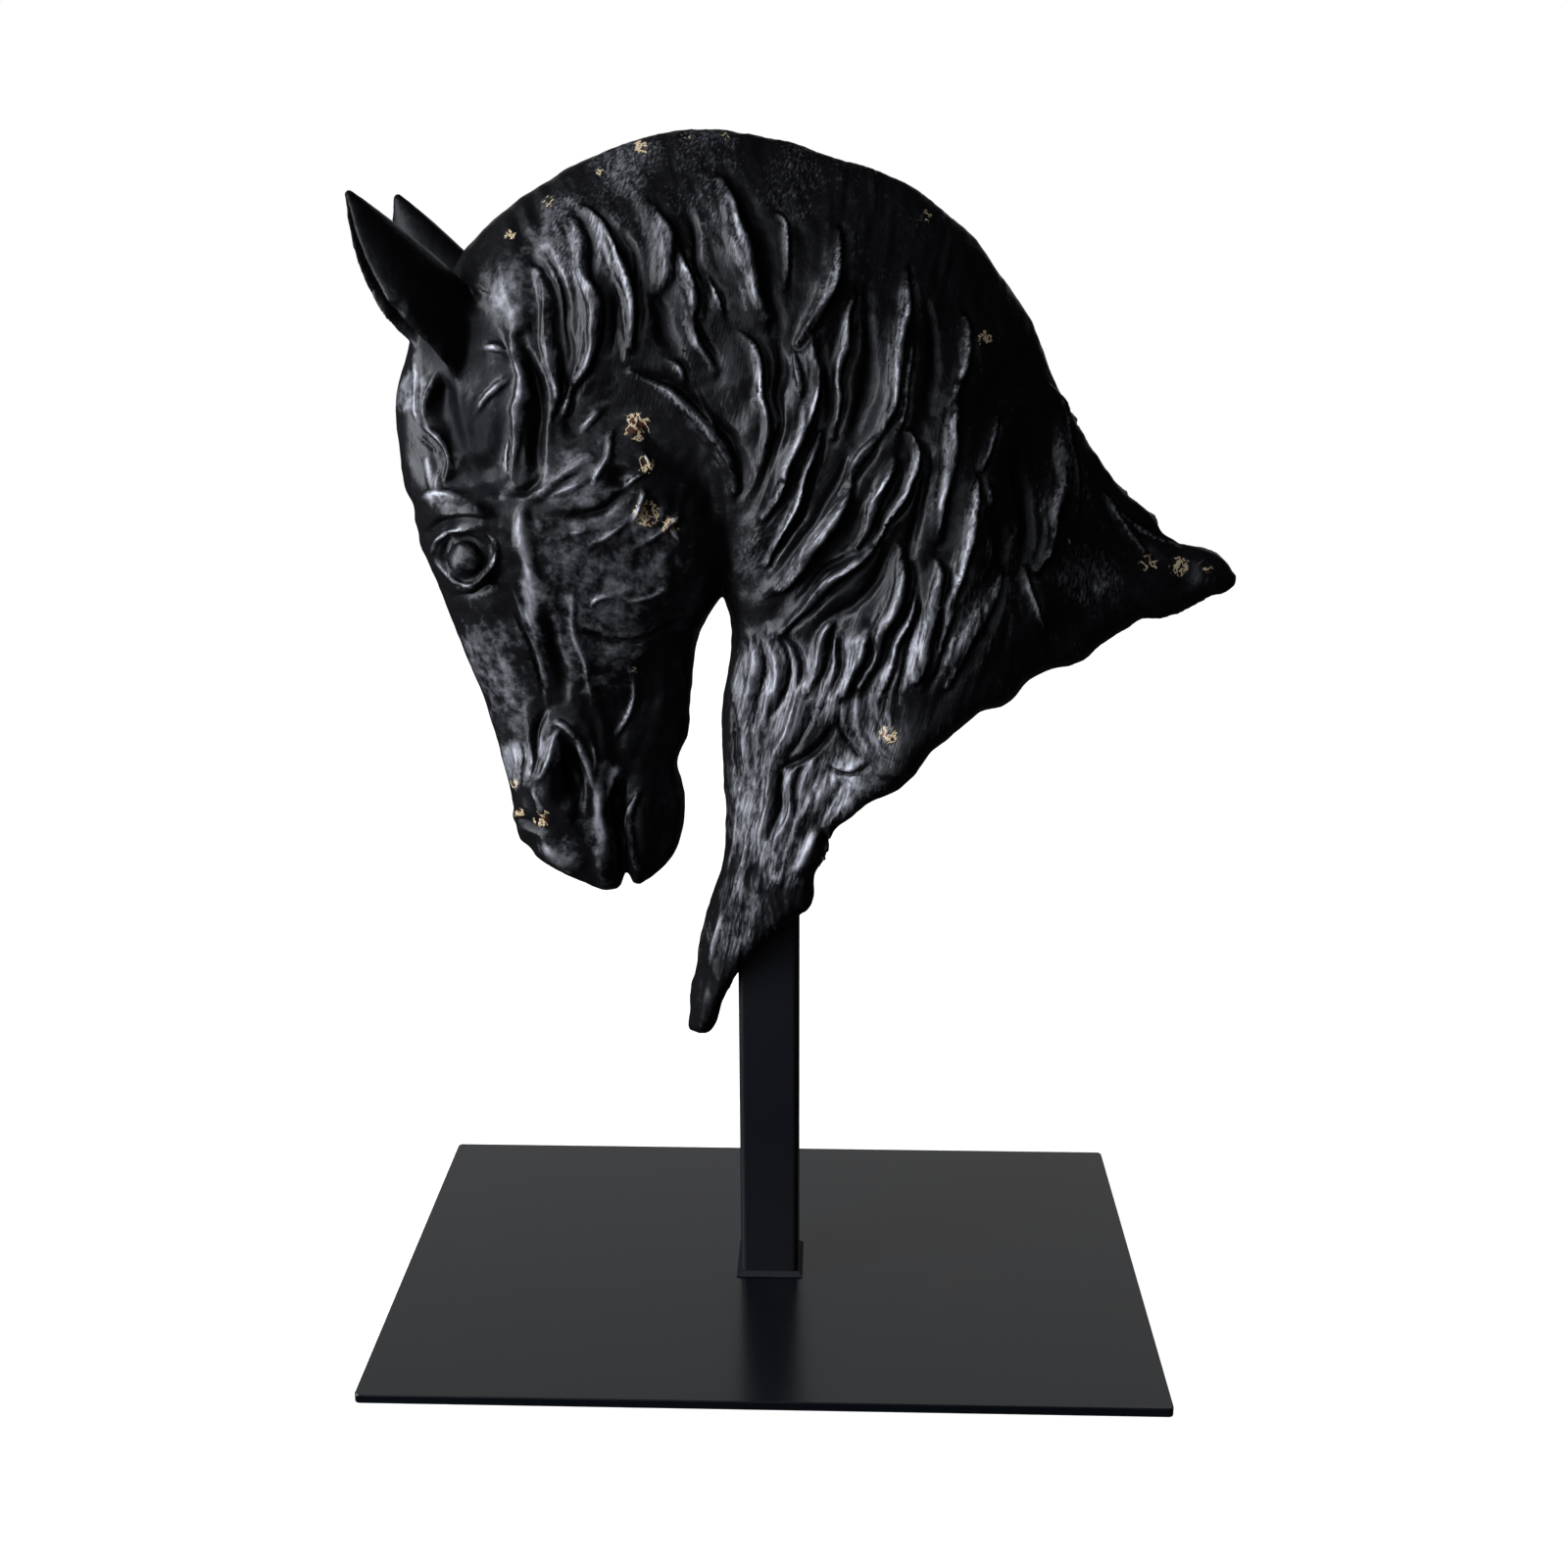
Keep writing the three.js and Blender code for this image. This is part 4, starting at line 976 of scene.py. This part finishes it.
@dataclass
class HorseHead:
    """The casting. Lengths in metres; heights of carving in millimetres; rounds are steps.

    The mesh is made in the order of the fields: a fine skin, smoothed and held near the solid,
    with its ears, eyes, socket and torn rim treated apart, then the carving and the finish.
    """

    camera: StudioCamera
    finish: BlackLacquer
    node: str = "horse_head"
    voxel: float = 0.86 * MM
    triangles: int = 195_000
    rounds: int = 52
    hold_back: float = 1.25 * MM
    puff: float = 0.75 * MM
    tips: tuple[tuple[float, float, float], ...] = ((-0.034, 0.0, 0.124), (0.176, 0.0, 0.308))
    tip_reach: float = 0.024
    tip_puff: float = 1.6 * MM
    ear_rounds: int = 10
    ear_hold: float = 0.7 * MM
    last_rounds: int = 4
    ear_root: tuple[float, float, float] = (-0.1075, 0.0185, 0.3940)
    ear_tip: tuple[float, float, float] = (-0.1480, 0.0274, 0.4535)
    ear_reach: float = 0.021
    ear_narrowing: float = 0.004
    ear_plainness: float = 0.85
    far_ear_back: float = 0.0043
    eye_at: tuple[float, float, float] = (-0.1087, 0.0349, 0.3225)
    eye_reach: float = 0.016
    eye_sink: float = 5.0 * MM
    eye_calm: float = 0.55
    socket_half: float = 0.0129
    socket_top: float = 0.218
    socket_clear: tuple[float, float] = (0.6 * MM, 3.0 * MM)
    seam: tuple[float, float] = (-6 * MM, 2 * MM)
    torn_from: tuple[float, float, float] = (-0.036, 0.0, 0.1187)
    torn_across: tuple[float, float, float] = (0.665, 0.0, -0.748)
    torn_depth: float = 0.046
    tuck: float = 5.0 * MM
    tuck_rounds: int = 150
    far_strength: float = 0.75
    far_wear: float = 0.5
    far_shift: tuple[float, float] = (14.0, -9.0)
    neck_from: tuple[float, float] = (640.0, 780.0)
    bold: float = 1.4
    streak_height: float = 0.15
    comb_height: float = 0.22
    face_height: float = 0.26
    cheek_edge: float = 560.0
    cheek_steps: tuple[tuple[float, float, float], ...] = ((190, 380, 470), (-20, 520, 640))
    cheek_band: tuple[float, float] = (-10, 14)
    face_hair: float = 0.35
    gap_hair: float = 0.35
    chest_hair: float = 1.5
    chest_below: tuple[float, float] = (620, 700)
    chest_before: tuple[float, float] = (980, 880)
    slanted_at: tuple[float, float] = (850.0, 545.0)
    slanted_reach: float = 150.0
    lump: float = 9 * MM
    lump_height: float = 0.30
    hammer: float = 3.6 * MM
    hammer_height: float = 0.18
    nick: float = 4.2 * MM
    nick_depth: float = 0.25
    # Strength of the painted highlight along strokes, and of the painted shade in gaps and on the
    # ears.
    stroke_highlight: float = 0.92
    gap_shade: float = 0.7
    ear_shade: float = 0.6
    fade_rounds: int = 40
    edge_rub: float = 0.17
    edge_rounds: int = 5
    edge_share: float = 97

    def copy_of_solid(self) -> bpy.types.Mesh:
        """A closed copy of the solid, with its doubled vertices merged."""
        work = bmesh.new()
        work.from_mesh(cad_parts[self.node].data)
        bmesh.ops.remove_doubles(work, verts=work.verts, dist=0.01 * MM)
        mesh = bpy.data.meshes.new("casting_form")
        work.to_mesh(mesh)
        work.free()
        return mesh

    def modified(self, mesh: bpy.types.Mesh, kind: str, settings: dict[str, Any]) -> bpy.types.Mesh:
        """Runs one modifier on a mesh.

        Args:
            mesh: The mesh, which is removed afterwards.
            kind: Blender's name for the modifier's type.
            settings: The modifier's properties.

        Returns:
            The new mesh.
        """
        holder = placed("holder", mesh)
        modifier = holder.modifiers.new(kind, kind)
        for key, value in settings.items():
            setattr(modifier, key, value)
        graph = bpy.context.evaluated_depsgraph_get()
        made = bpy.data.meshes.new_from_object(holder.evaluated_get(graph))
        bpy.data.objects.remove(holder)
        bpy.data.meshes.remove(mesh)
        return made

    def on_ears(self, points: np.ndarray) -> np.ndarray:
        """1 on the two ears and 0 away from them, for each point."""
        best = np.full(len(points), 1e9)
        for side, shift in ((Side.NEAR, 0.0), (Side.FAR, self.far_ear_back)):
            turn, move = np.array([1, side.value, 1]), np.array([shift, 0, 0])
            root, tip = np.array(self.ear_root) * turn + move, np.array(self.ear_tip) * turn + move
            axis = tip - root
            t = np.clip((points - root) @ axis / (axis @ axis), 0, 1)
            gap = np.linalg.norm(points - root - t[:, None] * axis, axis=1)
            best = np.minimum(best, gap + self.ear_narrowing * (1 - t))
        return 1 - ease(best, 0.75 * self.ear_reach, self.ear_reach)

    def from_eyes(self, points: np.ndarray) -> np.ndarray:
        """The distance of each point from the nearer eye."""
        folded = np.column_stack([points[:, 0], np.abs(points[:, 1]), points[:, 2]])
        return np.linalg.norm(folded - np.array(self.eye_at), axis=1)

    def on_eyes(self, points: np.ndarray) -> np.ndarray:
        """1 round the two eyes and 0 away from them, for each point."""
        return 1 - ease(self.from_eyes(points), 0.7 * self.eye_reach, self.eye_reach)

    def on_side(self, side: Side, points: np.ndarray) -> np.ndarray:
        """1 on one side of the casting and 0 on the other, for each point."""
        return ease(points[:, 1] * side.value, *self.seam)

    def off_socket(self, points: np.ndarray) -> np.ndarray:
        """0 on the walls of the post's socket and 1 away from them, for each point."""
        out = np.max(np.abs(points[:, :2]), axis=1) - self.socket_half
        over = points[:, 2] - self.socket_top
        return ease(np.maximum(out, over), *self.socket_clear)

    def sheet(self) -> CarvingSheet:
        """Draws the whole carving."""
        sheet = CarvingSheet()
        for mark in MANE:
            sheet.draw(mark, Cut.LOCK)
        for mark in PARTINGS:
            sheet.draw(mark, Cut.FURROW)
        for mark in CHEST + FACE:
            bold = replace(mark, rise=self.bold * mark.rise)
            sheet.draw(bold, Cut.RIDGE if mark.rise > 0 else Cut.FURROW)
        for spot in DENTS:
            sheet.dent(spot)
        sheet.ball(EYEBALL)
        for mark in LIDS:
            sheet.draw(mark, Cut.RIDGE if mark.rise > 0 else Cut.FURROW, 0.2)
        return sheet

    def hairiness(self, sheet: CarvingSheet) -> np.ndarray:
        """How strongly hair shows over the sheet: full on the neck, faint on the face."""
        edge = self.cheek_edge
        for step, top, bottom in self.cheek_steps:
            edge = edge + step * ease(sheet.ys, top, bottom)
        neck = ease(sheet.xs - edge, *self.cheek_band)
        return self.face_hair + (1 - self.face_hair) * neck

    def combed(self, sheet: CarvingSheet) -> np.ndarray:
        """Fine and coarse hair, strongest on the locks and the chest."""
        marks = MANE + CHEST + FACE
        hair = self.streak_height * sheet.streaks(marks, 1)
        hair += self.comb_height * sheet.streaks(marks, 3)
        locks = ease(sheet.raised + sheet.sunk, -0.8, 1.2)
        on_locks = self.gap_hair + (1 - self.gap_hair) * locks
        chest = ease(sheet.ys, *self.chest_below) * ease(sheet.xs, *self.chest_before)
        neck = self.hairiness(sheet) * np.maximum(on_locks, self.chest_hair * chest) * hair
        face = (1 - ease(self.hairiness(sheet), self.face_hair, 0.9)) * self.face_height
        return neck + face * sheet.streaks(marks, 4)

    def brushing(self, sheet: CarvingSheet) -> tuple[np.ndarray, np.ndarray]:
        """How the strokes and the areas round them are brushed pale, given painted highlight, and
        given painted shade.

        Args:
            sheet: The whole carving.

        Returns:
            How pale each cell is brushed, partly as painted highlight, and how much painted shade
            it gets, so that it returns little light, from 0 to 1.
        """
        pale = np.zeros(sheet.xs.shape)
        dark = np.zeros(sheet.xs.shape)
        for spot in BRUSHED_LIGHT_AND_SHADE:
            share = spot.rise * (1 - ease(sheet.gap(spot), 0.45, 1.0))
            pale, dark = np.maximum(pale, share), np.minimum(dark, share)
        # Painted highlight along raised strokes, none where painted shade lies; dark patches and
        # gaps carry painted shade.
        strokes = self.stroke_highlight * sheet.highlight_and_rub
        bright = np.maximum(pale + dark, strokes) * (1 - sheet.shade)
        return bright, np.clip(np.maximum(self.gap_shade * sheet.shade, -dark), 0, 1)

    def seen_from(
        self, side: Side, points: np.ndarray, normals: np.ndarray
    ) -> tuple[np.ndarray, np.ndarray]:
        """Where points fall on the sheet and how squarely they face it.

        Args:
            side: The side whose carving is asked for.
            points: Places in metres.
            normals: Their unit normals.

        Returns:
            Sheet places, and a weight from 0 to 1 for each point.
        """
        turn = np.array([1, 1 if side is Side.NEAR else -1, 1])
        place, facing = points * turn, normals * turn
        towards = np.array(self.camera.place) - place
        towards /= np.linalg.norm(towards, axis=1)[:, None]
        weight = ease(np.sum(facing * towards, axis=1), 0.02, 0.4)
        seen = self.camera.project(place)
        if side is Side.FAR:
            seen -= ease(seen[:, :1], *self.neck_from) * np.array(self.far_shift)
        return seen, weight

    def smooth(self, skin: Skin) -> None:
        """Takes the facets off, but keeps the outline, the ears and the torn edge."""
        free = self.off_socket(skin.points)
        ears = self.on_ears(skin.points)
        eyes = self.on_eyes(skin.points)
        start = skin.points.copy()
        tips = np.zeros(len(start))
        for tip in self.tips:
            gap = np.linalg.norm(start - np.array(tip), axis=1)
            tips = np.maximum(tips, 1 - ease(gap, 0.4 * self.tip_reach, self.tip_reach))
        skin.smooth(self.rounds, free * (1 - ears))
        skin.hold(start, self.hold_back * (1 + 5 * eyes + 4 * tips))
        start = skin.points.copy()
        skin.smooth(self.ear_rounds, free * ears)
        skin.hold(start, np.full(len(start), self.ear_hold))
        skin.smooth(self.last_rounds, free)
        out = free * ((1 - ears) * self.puff + tips * self.tip_puff)
        skin.points += out[:, None] * skin.normals()

    def set_eyes(self, skin: Skin) -> None:
        """Draws both eyes in under the brow."""
        gap = self.from_eyes(skin.points) / self.eye_reach
        sink = self.eye_sink * (1 - ease(gap, 0.3, 1.4))
        skin.points[:, 1] -= np.sign(skin.points[:, 1]) * sink

    def pull_outline(self, skin: Skin) -> None:
        """Shifts the form where its outline bulges or draws in."""
        right, up, forward = self.camera.axes()
        places = self.camera.project(skin.points)
        depth = (skin.points - np.array(self.camera.place)) @ forward
        free = self.off_socket(skin.points)
        for pull in OUTLINE:
            gap = off_by(places, pull.at, pull.radius)
            reach = free * (1 - ease(gap, 0.15, 1.0)) * depth / self.camera.focal
            skin.points += reach[:, None] * (pull.right * right - pull.down * up)

    def roll_rim(self, skin: Skin) -> None:
        """Rolls the torn edge under, so that it shows as a thick rim."""
        normals = skin.normals()
        across = np.array(self.torn_across)
        depth = -(skin.points - np.array(self.torn_from)) @ across
        below = (normals @ across > 0.6) & (depth < self.torn_depth)
        share = skin.spread(below.astype(float), self.tuck_rounds)
        share = ease(share, 0.06, 0.7) * self.off_socket(skin.points)
        side = skin.points[:, 1]
        inward = np.minimum(self.tuck, 0.5 * np.abs(side))
        skin.points[:, 1] = side - np.sign(side) * inward * share

    def carve(self, skin: Skin, sheet: CarvingSheet) -> None:
        """Moves the skin along its normals by the carving, the lumps and the pits."""
        normals = skin.normals()
        free = self.off_socket(skin.points)
        plain = 1 - self.ear_plainness * self.on_ears(skin.points)
        far_eye = self.on_eyes(skin.points) * (skin.points[:, 1] > 0)
        plain *= 1 - self.eye_calm * far_eye
        drawn = sheet.heights() + self.combed(sheet)
        height = np.zeros(len(skin.points))
        for side, strength in ((Side.NEAR, 1.0), (Side.FAR, self.far_strength)):
            places, weight = self.seen_from(side, skin.points, normals)
            own = self.on_side(side, skin.points)
            height += strength * weight * own * sheet.read(drawn, places)
        rough = self.lump_height * lumps(skin.points, self.lump, 1)
        rough += self.hammer_height * lumps(skin.points, self.hammer, 2)
        crest = ease(normals[:, 2], 0.2, 0.7) * ease(skin.points[:, 0], -0.10, -0.06)
        rough -= self.nick_depth * crest * ease(lumps(skin.points, self.nick, 3), 0.2, 0.7)
        total = plain * (height + rough) * free
        skin.points += (total * MM)[:, None] * normals

    def wear(self, skin: Skin, sheet: CarvingSheet) -> None:
        """Stores what the lacquer reads: where it is rubbed or painted with highlight, where
        painted shade lies, where it is worn and hairy, and how hair leans.
        """
        normals = skin.normals()
        out = np.sum((skin.points - skin.neighbour_mean(skin.points)) * normals, axis=1)
        edge = skin.spread(out, self.edge_rounds)
        edge = np.clip(edge / np.percentile(edge, self.edge_share), 0, 1)
        # Painted highlight is stronger on faces turned towards the key light at -X.
        flank = ease(-normals[:, 0], 0.1, 0.7)
        bright, shade_dullness = self.brushing(sheet)
        rub_and_highlight, worn, hairy, lean, deep_shade = (np.zeros(len(skin.points)) for _ in range(5))
        for side, strength in ((Side.NEAR, 1.0), (Side.FAR, self.far_wear)):
            places, weight = self.seen_from(side, skin.points, normals)
            own = self.on_side(side, skin.points)
            shown = skin.spread(ease(weight, 0, 0.6), self.fade_rounds)
            rub_and_highlight = np.where(own > 0.5, sheet.read(bright, places) * shown, rub_and_highlight)
            deep_shade = np.where(own > 0.5, sheet.read(shade_dullness, places) * shown, deep_shade)
            hairy = np.maximum(hairy, own * sheet.read(self.hairiness(sheet), places))
            off = off_by(places, self.slanted_at, self.slanted_reach)
            lean = np.maximum(lean, own * (1 - ease(off, 0.4, 1.0)))
            for spot in WORN:
                gap = off_by(places, spot.at, spot.radius)
                mark = strength * spot.rise * (1 - ease(gap, 0.2, 1)) * ease(weight, 0, 0.2)
                worn = np.maximum(worn, mark)
        ears = self.on_ears(skin.points)
        plain = 1 - self.ear_plainness * ears
        # The painted highlight is weaker on faces that look squarely along -X.
        front = 1 - 0.5 * ease(-normals[:, 0], 0.72, 0.95)
        rub_and_highlight = self.edge_rub * edge + rub_and_highlight * (0.6 + 0.4 * flank) * front
        skin.keep("rub_and_highlight", np.clip(plain * rub_and_highlight, 0, 1))
        # Painted shade on the ears, besides that of the hollows and dark patches.
        skin.keep("deep_shade", np.maximum(deep_shade, self.ear_shade * ears))
        skin.keep("worn", worn)
        skin.keep("hairy", ease(hairy, 0.4, 0.9))
        skin.keep("lean", lean)

    def build(self) -> bpy.types.Object:
        """Makes the carved casting and puts it in place of the solid."""
        low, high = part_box(self.node)
        mesh = self.copy_of_solid()
        fine = {"mode": "VOXEL", "voxel_size": self.voxel}
        mesh = self.modified(mesh, "REMESH", fine)
        skin = Skin(mesh)
        log.info("fine skin of %d vertices", len(skin.points))
        self.smooth(skin)
        self.set_eyes(skin)
        self.pull_outline(skin)
        self.roll_rim(skin)
        sheet = self.sheet()
        self.carve(skin, sheet)
        skin.points = np.clip(skin.points, np.array(low), np.array(high))
        skin.write()
        share = self.triangles / (2 * len(mesh.polygons))
        mesh = self.modified(mesh, "DECIMATE", {"ratio": share})
        skin = Skin(mesh)
        self.wear(skin, sheet)
        mesh.shade_smooth()
        casting = placed("carved_horse_head", mesh)
        coat(mesh, self.finish.material())
        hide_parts(self.node)
        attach(casting, "root")
        log.info("%s has %d faces", casting.name, len(mesh.polygons))
        return casting


@dataclass
class Stand:
    """The post and the base plate, which keep their own solids."""

    post_finish: PowderCoat
    plate_finish: PowderCoat

    def dress(self) -> None:
        """Gives both solids their coats."""
        for node, finish in (("post", self.post_finish), ("base_plate", self.plate_finish)):
            coat(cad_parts[node].data, finish.material())
            log.info("%s is coated", node)


@dataclass(frozen=True)
class Softbox:
    """One soft light: its place, what it points at, its two sides and its power."""

    name: str
    place: tuple[float, float, float]
    aim: tuple[float, float, float]
    size: tuple[float, float]
    power: float

    def build(self) -> None:
        """Adds the light."""
        data = bpy.data.lights.new(self.name, "AREA")
        data.shape = "RECTANGLE"
        data.size, data.size_y = self.size
        data.energy = self.power
        lamp = placed(self.name, data)
        direction = Vector(self.aim) - Vector(self.place)
        lamp.rotation_mode = "QUATERNION"
        lamp.rotation_quaternion = direction.to_track_quat("-Z", "Y")
        lamp.location = self.place


@dataclass
class Studio:
    """A plain pale floor, a pale surround and soft lights."""

    softboxes: tuple[Softbox, ...]
    floor_side: float = 24.0
    floor_glow: float = 1.0
    floor_albedo: float = 0.5
    floor_drop: float = 0.2 * MM
    surround: float = 1.0
    dimmed: float = 0.02

    def build(self) -> None:
        """Builds the floor, the surround and the lights."""
        self.build_floor()
        self.build_surround()
        for softbox in self.softboxes:
            softbox.build()
            log.info("light %s", softbox.name)
        bpy.context.scene.view_settings.view_transform = "Standard"

    def build_floor(self) -> None:
        """A large pale plane just under the plate."""
        work = bmesh.new()
        bmesh.ops.create_grid(work, x_segments=1, y_segments=1, size=self.floor_side / 2)
        bmesh.ops.translate(work, verts=work.verts, vec=(0, 0, -self.floor_drop))
        mesh = bpy.data.meshes.new("floor")
        work.to_mesh(mesh)
        work.free()
        floor = placed("floor", mesh)
        finish = {
            "Base Color": (*(self.floor_albedo,) * 3, 1),
            "Roughness": 0.9,
            "Specular IOR Level": 0.0,
            "Emission Color": (1, 1, 1, 1),
            "Emission Strength": self.floor_glow,
        }
        coat(mesh, Shader(bpy.data.materials.new("pale_floor")).surface(finish))
        floor.visible_diffuse = False
        floor.visible_glossy = False

    def build_surround(self) -> None:
        """A surround that is pale to look at and dim as a light."""
        world = bpy.data.worlds.new("surround")
        bpy.context.scene.world = world
        shader = Shader(world)
        seen = shader.node("ShaderNodeLightPath", {}, {}, "Is Camera Ray")
        limits = {"Value": seen, "To Min": self.dimmed, "To Max": self.surround}
        strength = shader.node("ShaderNodeMapRange", {}, limits)
        glow = {"Color": (1, 1, 1, 1), "Strength": strength}
        shader.end("ShaderNodeOutputWorld", shader.node("ShaderNodeBackground", {}, glow))


POST_COAT = PowderCoat(
    name="post_coat",
    colour=(0.005, 0.0056, 0.009, 1),
    smudged=(0.007, 0.0077, 0.011, 1),
    roughness=0.42,
    gloss=0.3,
)
PLATE_COAT = PowderCoat(
    name="plate_coat",
    colour=(0.0025, 0.004, 0.0065, 1),
    smudged=(0.005, 0.006, 0.008, 1),
    roughness=0.21,
    gloss=0.5,
)
SOFTBOXES = (
    Softbox("key", (-0.95, -0.45, 0.55), (0.0, 0.0, 0.30), (0.5, 1.3), 26.0),
    Softbox("fill", (-0.50, -1.55, 0.95), (0.0, 0.0, 0.28), (1.3, 1.0), 7.2),
    Softbox("back_card", (0.15, 1.25, 0.80), (0.0, 0.0, 0.10), (2.2, 1.1), 4.1),
)


def main() -> None:
    """Builds the camera, the studio, the stand and the casting."""
    logging.basicConfig(level=logging.INFO, format="%(name)s: %(message)s")
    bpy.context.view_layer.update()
    camera = StudioCamera()
    camera.build()
    Studio(SOFTBOXES).build()
    Stand(POST_COAT, PLATE_COAT).dress()
    HorseHead(camera, BlackLacquer()).build()


if __name__ == "__main__":
    main()
